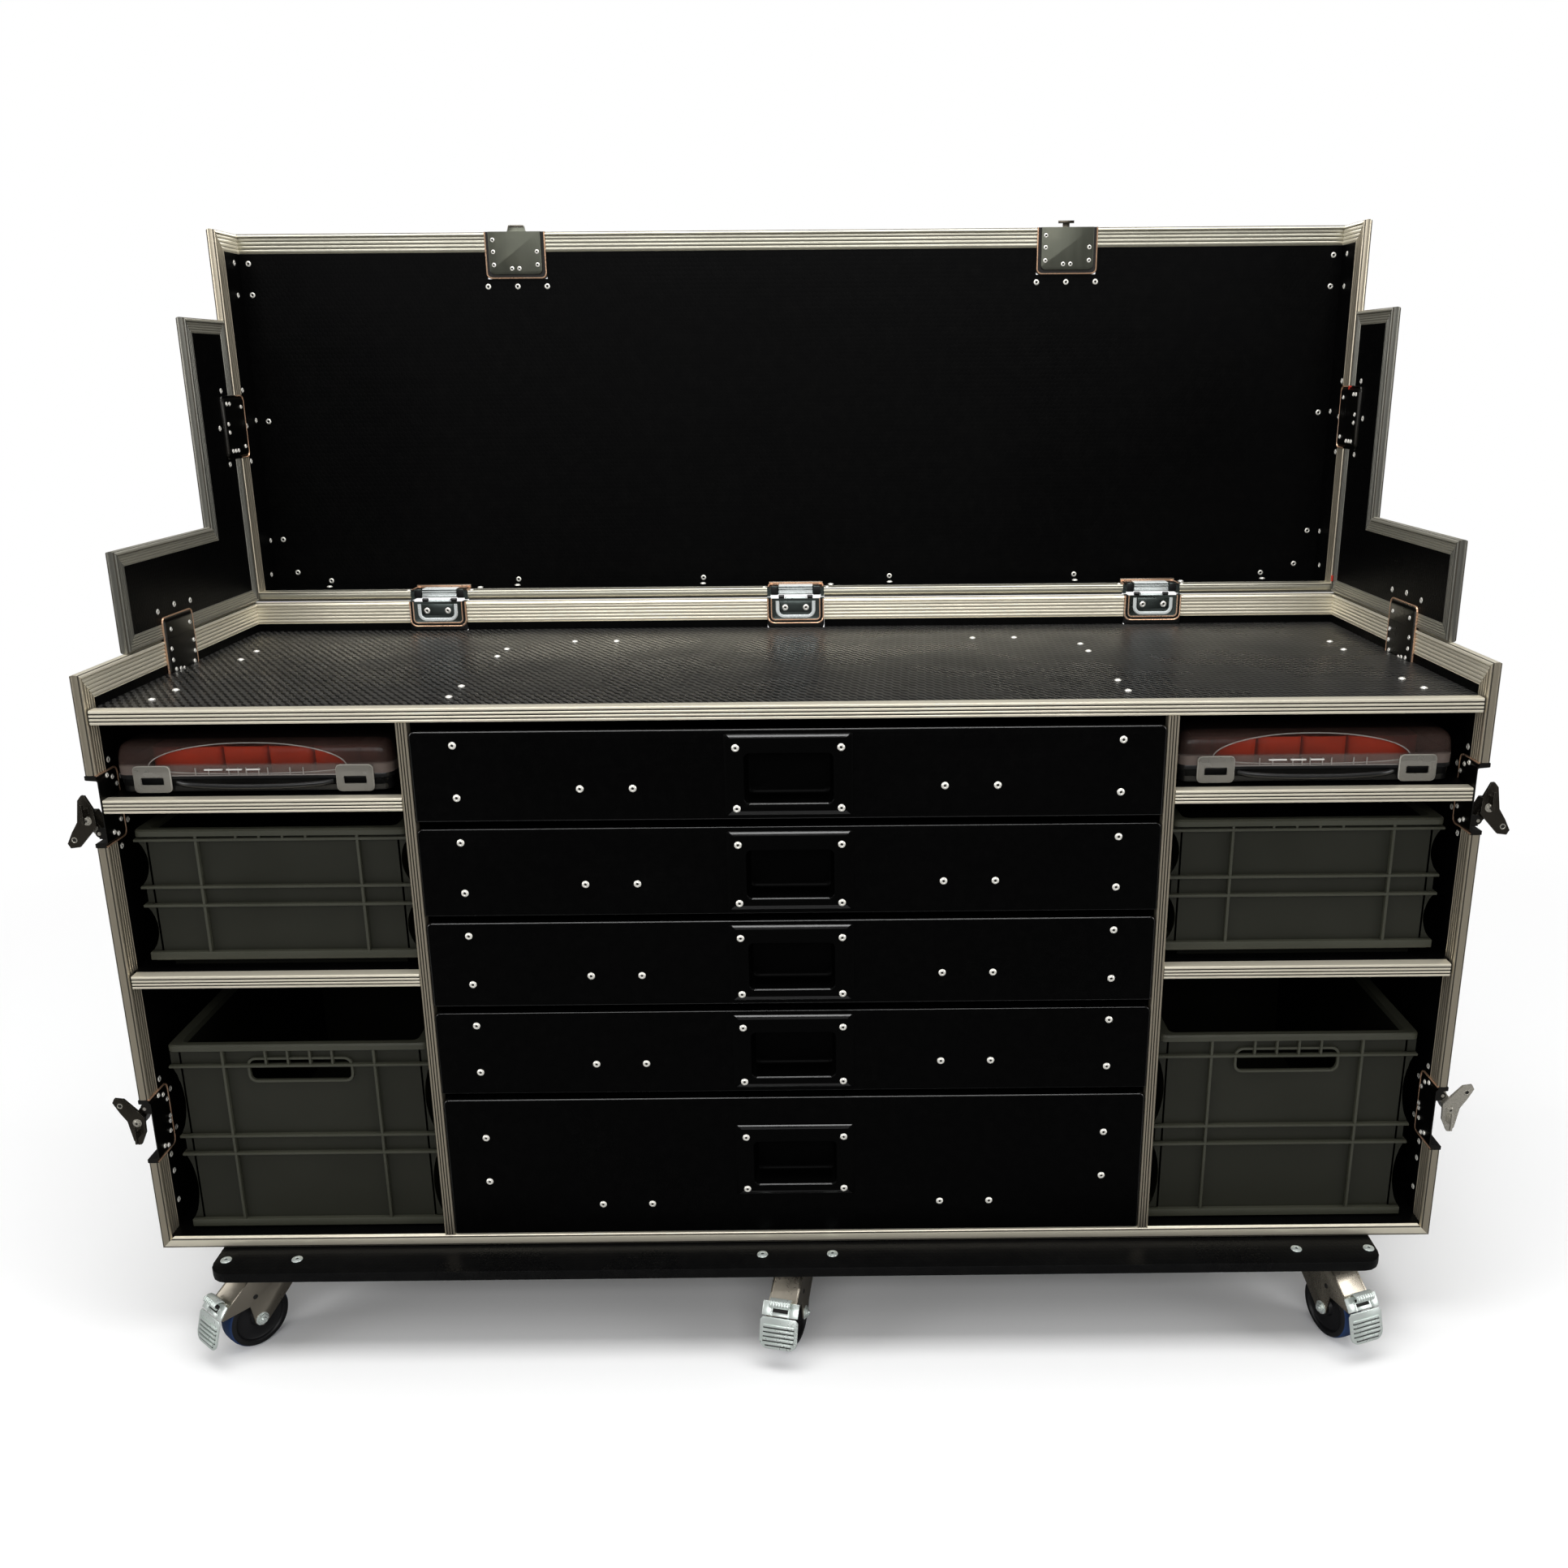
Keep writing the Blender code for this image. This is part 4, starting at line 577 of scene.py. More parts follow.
def channel(leg, count, nose=NOSE_WIDTH):
    """The section of an edge profile: (a, b) is through the board and back from its edge.

    A crowned nose, and two legs drawn with rounded flutes along them.
    """
    end = 0.0006
    first, last = NOSE_DEPTH + 0.0014, leg - 0.0012
    points = [(LEG, leg), (end, leg), (0.0, leg - end)]
    points += reversed(flutes(0.0, 1, first, last, count))
    points += [(0.0, NOSE_DEPTH)] + [(a * nose / 0.02, b) for a, b in CROWN]
    points += [(nose, NOSE_DEPTH - 0.0006), (nose - 0.0003, NOSE_DEPTH), (WALL, NOSE_DEPTH + 0.0004)]
    points += flutes(WALL, -1, first, last, count)
    points += [(WALL, leg - end), (WALL - end, leg), (WALL - LEG, leg)]
    return points + [(WALL - LEG, NOSE_DEPTH + GAP), (LEG, NOSE_DEPTH + GAP)]


SECTION = channel(PROFILE_LEG, 4)
RIM_SECTION = channel(RIM_LEG, 5)
WING_SECTION = channel(WING_LEG, 4)
BASE_SECTION = channel(PROFILE_LEG, 4, BASE_NOSE)


ANGLE_SOFT, ANGLE_END = 0.0022, 0.0005
ANGLE_SECTION = ([(LEG, ANGLE), (ANGLE_END, ANGLE), (0.0, ANGLE - ANGLE_END)]
                 + arc((ANGLE_SOFT, ANGLE_SOFT), ANGLE_SOFT, 180, 270, 4)
                 + [(ANGLE - ANGLE_END, 0.0), (ANGLE, ANGLE_END), (ANGLE, LEG), (LEG, LEG)])


def trim_section(width, back=0.0037):
    """A slim channel on a board's edge: (a, b) runs over the board's thickness and back from its edge."""
    marks = (0.0, 0.24, 0.48, 0.74, 1.0)
    points = [(TRIM_LEG, TRIM_DEPTH), (0.0, TRIM_DEPTH), (0.0, 0.0022)]
    for low, high in zip(marks, marks[1:]):
        start, end = low * width, high * width
        points.append((start + 0.0003, TRIM_GROOVE if low else 0.001))
        for part, cut in ((0.2, 0.22), (0.34, 0.05), (0.5, 0.0), (0.66, 0.05), (0.8, 0.22)):
            points.append((start + (end - start) * part, TRIM_GROOVE * cut))
        points.append((end - 0.0003, TRIM_GROOVE if high < 1.0 else 0.001))
    return points + [(width, 0.0022), (width, TRIM_DEPTH), (width - TRIM_LEG, TRIM_DEPTH),
                     (width - TRIM_LEG, back), (TRIM_LEG, back)]


def groove_edges(section):
    """The edges of a fluted section that lie down in its grooves."""
    wall = max(a for a, b in section)
    back = max(b for a, b in section)
    marked = set()
    for index, (a, b) in enumerate(section):
        c, d = section[(index + 1) % len(section)]
        deep = min((a + c) / 2, wall - (a + c) / 2)
        if 0.35 * FLUTE_DEPTH < deep <= FLUTE_DEPTH and NOSE_DEPTH < (b + d) / 2 < back - 0.0014:
            marked.add(index)
        if deep > 0.0015 and min(b, d) < 0.0021 and 0.001 < max(b, d) <= TRIM_GROOVE:
            marked.add(index)
    return marked


def frame_shape():
    """One Shape for the profiles along each axis."""
    return [Shape() for axis in "xyz"]


def strip(parts, section, start, axis, across, inward, length, mitres=(None, None), breaks=()):
    """A profile along a straight edge, each end shortened by its mitre at (a, b).

    Breaks are (low, high) stretches left out, where a dish stands in the edge.
    """
    number = "xyz".index(axis)
    along = (RIGHT, BACK, UP)[number]
    start, along, across, inward = (Vector(item) for item in (start, along, across, inward))
    cuts = [0.0] + [value for pair in breaks for value in pair] + [length]
    grooves = groove_edges(section)
    # Faces down in the grooves take the darker groove finish, painted shade.
    marks = [number, number] + [GROOVE if i in grooves else number for i in range(len(section))]
    for index in range(0, len(cuts), 2):
        loops = []
        for level, mitre, sign in ((cuts[index], mitres[0] if index == 0 else None, 1),
                                   (cuts[index + 1], mitres[1] if index + 2 == len(cuts) else None, -1)):
            loops.append([start + across * a + inward * b
                          + along * (level + (sign * mitre(a, b) if mitre else 0.0)) for a, b in section])
        parts[number].join(loft(loops, marks, caps_first=True))


def merged(parts):
    """The three directions of profile as one Shape."""
    made = Shape()
    for part in parts:
        made.join(part)
    return made


def room(middle, half=DISH / 2, start=0.0):
    """The stretch of a profile, from its start, that a dish takes up."""
    return middle - half - GAP - start, middle + half + GAP - start


# How much a strip's end is cut back at (a, b) of its section
def by_leg(a, b):
    return b


def by_board(a, b):
    return a


def outward_leg(a, b):
    return -b


def behind_leg(a, b):
    return PROFILE_LEG + GAP


BOARDS_MEET, ANGLES_MEET, LEGS_MEET = (by_board, by_board), (max, max), (by_leg, by_leg)


# ---------------------------------------------------------------- rivets and bolts

RIVET_PROFILE = tenths((0, 4), (19, 4), (22, 17), (30, 20), (40, 16), (48, 9), (54, 3), (55, -3), (0, -3))
# The rivet's sunk middle takes finish 1, near-black as painted shade in its hollow.
RIVET_MARKS = [1, 0, 0, 0, 0, 0, 0, 0]
RIVET = revolved(RIVET_PROFILE, 20, RIVET_MARKS)
OPEN_PROFILE = tenths((0, 4), (25, 4), (28, 17), (34, 20)) + RIVET_PROFILE[4:]
SMALL_RIVET = Shape()
SMALL_RIVET.join(revolved(OPEN_PROFILE, 20, RIVET_MARKS), Matrix.Scale(0.7, 4))


def rivets(shape, points, way, small=False):
    """Rivets on a face, at points in the cabinet's frame."""
    for number, point in enumerate(points):
        spot = Vector(point) + Vector(way) * 0.0001
        shape.join(SMALL_RIVET if small else RIVET, facing(spot, way, 0.7 * number))


# ---------------------------------------------------------------- dishes

def pan(width, depth, rings, finishes, short=0.0):
    """A pressed dish open at v = 0, as a closed sheet, in (u, v, d): d is inward from the outer face.

    Rings are (inset, d, corner radius), from the back of its floor out round the rim and
    into the hollow to the floor's front. The pressed rim on the first side ends short of
    the sheet's own edge.
    """
    loops = []
    for inset, level, radius in rings:
        far = depth - inset - (short if level > 0.0152 else 0.0)
        path = [(inset, 0.0)] + arc((inset + radius, far - radius), radius, 180, 90, 5)
        path += arc((width - inset - radius, far - radius), radius, 90, 0, 5) + [(width - inset, 0.0)]
        loops.append([(u, v, level) for u, v in path])
    count = len(loops[0])
    starts = [index * count for index in range(len(loops))]
    faces = [[here + step, here + step + 1, there + step + 1, there + step]
             for here, there in zip(starts, starts[1:]) for step in range(count - 1)]
    marks = [finish for finish in finishes for step in range(count - 1)]
    faces += [list(range(count)), [starts[-1] + step for step in range(count)],
              starts + [here + count - 1 for here in reversed(starts)]]
    made = Shape()
    made.add([point for path in loops for point in path], faces, marks + [0, 0, 0])
    return made


DISH_RINGS = tenths(
    (85, 190, 40), (66, 184, 50), (40, 158, 65), (24, 158, 75), (14, 172, 85), (4, 170, 90), (0, 160, 90),
    (0, 148, 90), (0, 12, 90), (4, 3, 86), (60, 3, 60), (68, 16, 55), (80, 162, 45), (92, 174, 35))
DISH_MARKS = [0, 0, 0, 1, 1, 1, 1, 0, 0, 0, 0, 0, 0]
TOP_RINGS = tenths((88, 190, 70), (76, 186, 80), (68, 158, 85)) + DISH_RINGS[3:]
# On the top dishes the flat step inside the rim, the third band, is finish 2, near-black as painted shade.
TOP_MARKS = [3, 3, 2, 1, 1, 1, 1, 0, 0, 0, 0, 0, 0]
LATCH_SPOTS = mm((14, 16), (14, 34), (20, 50), (36, 52), (48, 54), (94, 16), (94, 34), (88, 50))
SIDE_LATCH_SPOTS = mm((17, 22), (12, 33), (30, 46), (45, 50), (53, 52), (83, 50), (96, 40), (102, 26))
WING_SPOTS = mm((14, 18), (14, 30), (14, 42), (46, 46), (60, 48), (94, 34), (94, 46))
KEEPER_SPOTS = mm((20, 14), (88, 14))
TOP_SPOTS = mm((15, 14), (15, 34), (15, 56), (47, 62), (60, 62), (93, 34), (93, 56))


def dish(shape, corner, u, v, d, depth, spots, marks=DISH_MARKS, rings=DISH_RINGS, floor=0):
    """A latch or keeper dish with rivets on its back; spots are (u, v)."""
    place = oriented(corner, u, v, d)
    made = pan(DISH, depth, rings, marks)
    made.finishes[-3] = floor
    shape.join(made, place)
    for first, second in spots:
        rivets(shape.rivets, [place @ Vector((first, second, 0.019))], d, small=True)


def dish_set():
    """A Shape for dishes, and one for their rivets."""
    made = Shape()
    made.rivets = Shape()
    return made


base_dishes, lid_dishes = dish_set(), dish_set()
wing_dishes = {name: dish_set() for name in SIDES}
for side_name, side in SIDES.items():
    outer, inward, wing_dish = side * HALF_WIDTH, (-side, 0, 0), wing_dishes[side_name]
    for low_z in (UPPER_LATCH_Z, LOWER_LATCH_Z):
        dish(base_dishes, (outer, 0, low_z), UP, BACK, inward, LATCH_DISH_DEPTH, SIDE_LATCH_SPOTS)
    rim_y, wing_z = RIM_LATCH_Y - DISH / 2, WING_LATCH_Z - DISH / 2
    dish(base_dishes, (outer, rim_y, HEIGHT), BACK, DOWN, inward, LATCH_DISH_DEPTH, LATCH_SPOTS)
    dish(wing_dish, (outer, rim_y, HEIGHT + GAP), BACK, UP, inward, KEEPER_DISH_DEPTH, KEEPER_SPOTS)
    dish(wing_dish, (outer, LID_FRONT - GAP, wing_z), UP, FRONT, inward, LATCH_DISH_DEPTH, WING_SPOTS,
         [0] * len(DISH_MARKS))
    dish(lid_dishes, (outer, LID_FRONT, wing_z), UP, BACK, inward, KEEPER_DISH_DEPTH, KEEPER_SPOTS)
    dish(lid_dishes, (side * TOP_LATCH_X - DISH / 2, LID_BACK, LID_TOP), RIGHT, DOWN, FRONT, TOP_LATCH_DEPTH,
         TOP_SPOTS, TOP_MARKS, TOP_RINGS, 3)


def ears(shape, pin, seam, out, along):
    """The two ears of a latch, rounded plates with its pin between them.

    pin is the pin's place on the seam plane, seam points into the board, out away from
    the wall and along runs to the middle of the dish.
    """
    pin, seam, out, along = (Vector(item) for item in (pin, seam, out, along))
    root = WALL + DISH_PROUD - PIN_INSET - 0.0016
    outline = [(-root, -EAR_HALF), (0.0, -EAR_HALF * 0.9)]
    outline += [(0.0055 * math.cos(math.radians(angle)) - 0.0015, 0.0062 * math.sin(math.radians(angle)))
                for angle in range(-80, 81, 20)]
    outline += [(0.0, EAR_HALF * 0.9), (-root, EAR_HALF)]
    for start in (EAR_START, EAR_START + EAR + 2 * GAP + LATCH_BODY):
        shape.join(loft([[pin + out * a + along * b + seam * level for a, b in outline]
                         for level in (start, start + EAR)], caps_first=True))


for side in SIDES.values():
    x = side * (HALF_WIDTH - PIN_INSET)
    for z, along in ((UPPER_LATCH_Z + PIN_END, UP), (LOWER_LATCH_Z + DISH - PIN_END, DOWN)):
        ears(base_dishes, (x, 0, z), BACK, (side, 0, 0), along)
    ears(lid_dishes, (side * (TOP_LATCH_X + DISH / 2 - PIN_END), LID_BACK - PIN_INSET, LID_TOP), DOWN, BACK,
         (-side, 0, 0))


# ---------------------------------------------------------------- hinges

HINGE_RINGS = tenths(
    (88, 184, 60), (76, 189, 70), (66, 187, 78), (58, 158, 85), (36, 156, 100), (28, 180, 105),
    (16, 189, 112), (5, 182, 118), (0, 168, 120), (0, 150, 115), (0, 12, 115), (4, 3, 110), (50, 3, 80),
    (58, 16, 70), (70, 160, 55), (80, 172, 45))
# Finish 3 is black: painted shade in the rim's pressed channel and, on the base hinges, down the pan's side
# walls.
HINGE_MARKS = [1, 1, 0, 3, 3, 1, 1, 1, 1, 0, 0, 0, 0, 0, 0]
BASE_HINGE_MARKS = [1, 1, 0, 3, 3, 1, 1, 1, 3, 3, 3, 0, 0, 0, 0]
HINGE_AXIS = (DEPTH + GAP, HEIGHT + GAP)
HINGE_BAR = tenths((11, 52), (11, 98), (0, 110), (0, 142), (10, 162), (30, 174), (300, 176), (300, 166))


def emboss(width, drop, wide, proud, steps=6):
    """A raised U on a hinge pan, a rounded bar bent round two corners, in (u, v, d)."""
    half, radius = width / 2, 0.012
    path = [(-half, 0.0)] + arc((-half + radius, drop - radius), radius, 180, 90, steps)
    path += arc((half - radius, drop - radius), radius, 90, 0, steps) + [(half, 0.0)]
    section = [(-wide / 2, 0.0), (-wide / 4, proud), (wide / 4, proud), (wide / 2, 0.0), (0.0, -0.0004)]
    loops = []
    for index, (x, y) in enumerate(path):
        way = (Vector(path[min(index + 1, len(path) - 1)]) - Vector(path[max(index - 1, 0)])).normalized()
        loops.append([(x - way.y * across, y + way.x * across, high) for across, high in section])
    return loft(loops, caps_first=True)


def knuckle(start, length, finish):
    """A length of the hinge's barrel, from x = start."""
    end = length - 0.0005
    barrel = revolved([(0, 0), (0.003, 0), (KNUCKLE_RADIUS, 0.0005), (KNUCKLE_RADIUS, end), (0.003, length),
                       (0, length)], 24, finish)
    return barrel, facing((start, *HINGE_AXIS), RIGHT)


base_hinges, lid_hinges = dish_set(), dish_set()
for x in HINGE_XS:
    place = oriented((x - HINGE_WIDTH / 2, DEPTH, HEIGHT), RIGHT, DOWN, FRONT)
    base_hinges.join(pan(HINGE_WIDTH, HINGE_DROP, HINGE_RINGS, BASE_HINGE_MARKS, HINGE_SHORT), place)
    middle = place @ Matrix.Translation((HINGE_WIDTH / 2, 0.0044, 0.0183))
    base_hinges.join(emboss(0.066, 0.0285, 0.0068, 0.0026), middle, 2)
    base_hinges.bit((0, 0, 0), (-285, 0, -2), (285, 200, 12), 5, 0, middle)
    rivets(base_hinges.rivets, [middle @ Vector((u, 0.0118, 0.0012)) for u in (-0.019, 0.019)], FRONT)
    half = HINGE_WIDTH * 0.19
    axis_y = HINGE_AXIS[0]
    base_hinges.block((x - half, DEPTH - WALL - 0.001, HEIGHT - 0.0066),
                      (x + half, axis_y - 0.0006, HEIGHT - 0.0042), 0.0007, 2)
    base_hinges.join(*knuckle(x - half, 2 * half, 2))
    place = oriented((x - HINGE_WIDTH / 2, LID_FRONT, LID_BOTTOM), RIGHT, BACK, UP)
    lid_hinges.join(pan(HINGE_WIDTH, HINGE_LID_REACH, HINGE_RINGS, HINGE_MARKS), place)
    front, back = axis_y + 0.0002, axis_y + KNUCKLE_RADIUS + 0.0004
    fold = [(back, 0.0), (front + 0.0006, 0.0), (front, 0.0008), (front, 0.004)]
    fold += [(front + y, z) for y, z in HINGE_BAR] + [(back, 0.016)]
    bar = extrude([(y, LID_BOTTOM + 0.0042 + z * 0.86) for y, z in fold], "x", x - 0.0315, x + 0.0315, 2)
    lid_hinges.join(bar.bevelled(0.0004))
    lid_corner = (x, LID_FRONT, LID_BOTTOM)
    for side in SIDES.values():
        low, high = beside(side, half + 0.0015, HINGE_WIDTH * 0.3, x)
        # The side knuckles and the blocks beside the bar take finish 3, black as painted shade.
        lid_hinges.join(*knuckle(low, high - low, 3))
        near, far = sorted((side * 325, side * 455))
        lid_hinges.bit(lid_corner, (near, 4, 30), (far, 270, 192), 8, 3)
    lid_hinges.bit(lid_corner, (-505, 368, 160), (505, 402, 225), 9, 1)


# ---------------------------------------------------------------- edge profiles of the base

base = frame_shape()
for side in SIDES.values():
    outer, inward = side * HALF_WIDTH, (-side, 0, 0)
    strip(base, RIM_SECTION, (outer, 0, HEIGHT), "y", inward, DOWN, DEPTH,
          (lambda a, b: b * PROFILE_LEG / RIM_LEG, by_board), [room(RIM_LATCH_Y)])
    strip(base, SECTION, (outer, 0, 0), "z", inward, BACK, HEIGHT,
          (by_board, lambda a, b: b * RIM_LEG / PROFILE_LEG),
          [(z - GAP, z + DISH + GAP) for z in (LOWER_LATCH_Z, UPPER_LATCH_Z)])
    strip(base, ANGLE_SECTION, (outer, 0, 0), "y", UP, inward, DEPTH, (behind_leg, max))
    strip(base, ANGLE_SECTION, (outer, DEPTH, 0), "z", inward, FRONT, HEIGHT,
          (max, lambda a, b: RIM_LEG + GAP))


def wide_strip(parts, section, y, z, across, inward, mitres=BOARDS_MEET, breaks=()):
    """A profile over the whole width of the case."""
    strip(parts, section, (-HALF_WIDTH, y, z), "x", across, inward, 2 * HALF_WIDTH, mitres, breaks)


hinge_breaks = [room(HALF_WIDTH + x, HINGE_WIDTH / 2) for x in HINGE_XS]
wide_strip(base, BASE_SECTION, 0, 0, UP, BACK)
wide_strip(base, RIM_SECTION, DEPTH, HEIGHT, FRONT, DOWN, breaks=hinge_breaks)
wide_strip(base, ANGLE_SECTION, DEPTH, 0, UP, FRONT, ANGLES_MEET)
# The pans' fourth finish is the black plastic, used on them as painted shade.
PAN_METALS = [PAN_STEEL, COPPER_EDGE, BAR_STEEL, TRAY_PLASTIC_AND_PAN_SHADE]
piece("base_edge_profiles", merged(base), EDGE_METALS, "case", "base_frame", 28)
piece("base_latch_dishes", base_dishes, [DISH_STEEL, COPPER_EDGE], "case")
piece("base_hinge_pans", base_hinges, PAN_METALS, "case")

# ---------------------------------------------------------------- slim trim on the bays' boards

trim = frame_shape()
end = HALF_WIDTH - BASE_NOSE - GAP
trim_low = WORKTOP_UNDER - TRIM_LEG
strip(trim, trim_section(WORKTOP_TOP - trim_low), (-end, 0, trim_low), "x", UP, BACK, 2 * end)
half_trim = DIVIDER_BOARD / 2 + TRIM_LEG
for side in SIDES.values():
    strip(trim, trim_section(2 * half_trim), (side * DIVIDER_X - half_trim, 0, BASE_NOSE + GAP), "z", RIGHT,
          BACK, trim_low - BASE_NOSE - 2 * GAP)
    for level in ("upper", "lower"):
        shelf = cabinet_box(f"shelf_left_{level}")
        low_z = shelf[0].z - TRIM_LEG
        near, far = beside(side, DIVIDER_X + half_trim + GAP, end)
        strip(trim, trim_section(shelf[1].z - low_z), (near, 0, low_z), "x", UP, BACK, far - near)
piece("bay_front_trim", merged(trim), EDGE_METALS, "case", "bay_trim", 28)

# ---------------------------------------------------------------- edge profiles of the lid and wings

lid = frame_shape()
tall, deep = LID_TOP - LID_BOTTOM, LID_BACK - LID_FRONT
for side in SIDES.values():
    outer, inward = side * HALF_WIDTH, (-side, 0, 0)
    strip(lid, SECTION, (outer, LID_FRONT, LID_BOTTOM), "z", inward, BACK, tall, (by_board, by_leg),
          [room(WING_LATCH_Z, start=LID_BOTTOM)])
    strip(lid, SECTION, (outer, LID_FRONT, LID_TOP), "y", inward, DOWN, deep, (by_leg, by_board))
    strip(lid, ANGLE_SECTION, (outer, LID_BACK, LID_BOTTOM), "z", inward, FRONT, tall, (max, behind_leg))
    strip(lid, ANGLE_SECTION, (outer, LID_FRONT, LID_BOTTOM), "y", UP, inward, deep, (behind_leg, max))
wide_strip(lid, SECTION, LID_FRONT, LID_BOTTOM, UP, BACK, breaks=hinge_breaks)
wide_strip(lid, SECTION, LID_BACK, LID_TOP, FRONT, DOWN,
           breaks=[room(HALF_WIDTH + x) for x in (-TOP_LATCH_X, TOP_LATCH_X)])
wide_strip(lid, ANGLE_SECTION, LID_BACK, LID_BOTTOM, UP, FRONT, ANGLES_MEET)
piece("lid_edge_profiles", merged(lid), LID_METALS, "lid", "lid_frame", 28)
piece("lid_latch_dishes", lid_dishes, [DISH_STEEL, COPPER_EDGE, HOLLOW_SHADE, TOP_STEEL], "lid")
piece("lid_hinge_pans", lid_hinges, PAN_METALS, "lid")

cap_x = HALF_WIDTH - WALL - 0.0002
tie_z = WING_LATCH_Z + DISH / 2 - 0.0012
ties = Shape()
ties.bit((cap_x, LID_FRONT - GAP, LID_BOTTOM), (-30, -85, 200), (0, -30, 310), 12, segments=3)
ties.bit((cap_x, LID_FRONT - GAP, tie_z), (-30, -150, -14), (0, -30, 14), 10, segments=3)
ties.bit((cap_x, LID_FRONT - GAP, tie_z), (-30, -56, -58), (0, -30, 12), 9, segments=3)
piece("red_seam_ties_right", ties, [RED_PLASTIC], "wing_right", smooth=40)

for side_name, side in SIDES.items():
    outer, inward = side * HALF_WIDTH, (-side, 0, 0)
    low_y, high_y, foot, top = WING_LOW.y, LID_FRONT - GAP, HEIGHT + GAP, WING_HIGH.z
    step_y, step_z = WING_HIGH_FRONT, WING_STEP_Z
    wing = frame_shape()
    for y, z, axis, into, length, mitres, breaks in (
            (low_y, foot, "y", UP, high_y - low_y, LEGS_MEET, [room(RIM_LATCH_Y, start=low_y)]),
            (low_y, foot, "z", BACK, step_z - foot, LEGS_MEET, ()),
            (low_y, step_z, "y", DOWN, step_y - low_y, (by_leg, outward_leg), ()),
            (step_y, step_z, "z", BACK, top - step_z, (outward_leg, by_leg), ()),
            (step_y, top, "y", DOWN, high_y - step_y, LEGS_MEET, ()),
            (high_y, foot, "z", FRONT, top - foot, LEGS_MEET, [room(WING_LATCH_Z, start=foot)])):
        strip(wing, WING_SECTION, (outer, y, z), axis, inward, into, length, mitres, breaks)
    body = f"wing_{side_name}"
    piece(f"wing_edge_profiles_{side_name}", merged(wing), WING_METALS, body, f"wing_frame_{side_name}", 28)
    piece(f"wing_dishes_{side_name}", wing_dishes[side_name], [DISH_STEEL, COPPER_EDGE], body)

plugs = Shape()
plugs.pair((INSIDE + LEG + GAP, LID_FRONT + 0.0008, LID_TOP - PROFILE_LEG + 0.0006),
           (HALF_WIDTH - LEG - GAP, LID_FRONT + NOSE_DEPTH, LID_TOP - NOSE_DEPTH - GAP), 0.0006)
piece("lid_end_plugs", plugs, [TRAY_PLASTIC_AND_PAN_SHADE], "lid")

# ---------------------------------------------------------------- boards

BOARDS = ["base_board", "side_board_left", "side_board_right", "rear_board", "divider_left", "divider_right",
          "shelf_left_upper", "shelf_left_lower", "shelf_right_upper", "shelf_right_lower", "lid_shell",
          "wing_board_left", "wing_board_right"]
for node in BOARDS:
    frame["nodes"][node].material_slots[0].material = BLACK_BOARD
frame["nodes"]["worktop"].material_slots[0].material = WORKTOP_FILM
piece("castor_board_rounded", copied("castor_board", 0.006, 4, 40), [CASTOR_BOARD], "case", "castor_board",
      40)

# ---------------------------------------------------------------- rivets on the boards

case_rivets, lid_rivets = Shape(), Shape()
wing_rivets = {name: Shape() for name in SIDES}
BACK_FACE = LID_BACK - WALL + LEG
SIDE_FACE = INSIDE + LEG
LID_FLOOR = LID_BOTTOM + WALL - LEG
LID_BACK_SPOTS = [(0.972, 1.513), (0.971, 1.46), (0.969, 1.24), (0.9675, 1.024), (0.947, 0.962),
                  (0.885, 0.9455), (0.529, 0.9455), (0.177, 0.9455)]
LID_SIDE_SPOTS = [(0.7275, 1.513), (0.728, 1.4585), (0.741, 1.242), (0.7416, 1.0235), (0.726, 0.962)]
WORKTOP_SPOTS = [(0.927, 0.078), (0.9205, 0.142), (0.915, 0.372), (0.917, 0.444), (0.495, 0.078),
                 (0.4945, 0.15), (0.492, 0.38), (0.49, 0.444), (0.385, 0.509), (0.312, 0.509)]
for side in SIDES.values():
    inward = (-side, 0, 0)
    rivets(lid_rivets, [(side * x, BACK_FACE, z) for x, z in LID_BACK_SPOTS], FRONT)
    rivets(lid_rivets, [(side * SIDE_FACE, y, z) for y, z in LID_SIDE_SPOTS], inward)
    rivets(lid_rivets, [(side * x, BACK_FACE - 0.014, LID_FLOOR) for x in (0.885, 0.529, 0.177)], UP)
    rivets(lid_rivets, [(side * TOP_LATCH_X + x, BACK_FACE, LID_TOP - TOP_LATCH_DEPTH - 0.013)
                        for x in (-0.053, 0.0, 0.053)], FRONT)
    rivets(case_rivets, [(side * x, y, WORKTOP_TOP - TRIM_LEG) for x, y in WORKTOP_SPOTS], UP)
    low_dish = [(0.046, LOWER_LATCH_Z - 0.012), (0.074, LOWER_LATCH_Z + 0.02), (0.074, LOWER_LATCH_Z + 0.088),
                (0.046, LOWER_LATCH_Z + DISH + 0.012)]
    high_dish = [(y, z - LOWER_LATCH_Z + UPPER_LATCH_Z) for y, z in low_dish]
    spots = low_dish + high_dish + mm((47, 60), (47, 112))
    rivets(case_rivets, [(side * SIDE_FACE, y, z) for y, z in spots], inward)
    heel = LID_BOTTOM + WALL + 0.001
    for x in (HINGE_X, 0.0) if side > 0 else (HINGE_X,):
        edge = HINGE_WIDTH / 2 + 0.006
        rivets(lid_rivets, [(side * x + reach, LID_FRONT + 0.01, heel) for reach in (-edge, edge)], UP, True)
        rivets(lid_rivets, [(side * x + reach, LID_FRONT + HINGE_LID_REACH + 0.007, heel - 0.001)
                            for reach in (-0.04, -0.0035, 0.033, 0.065)], UP)
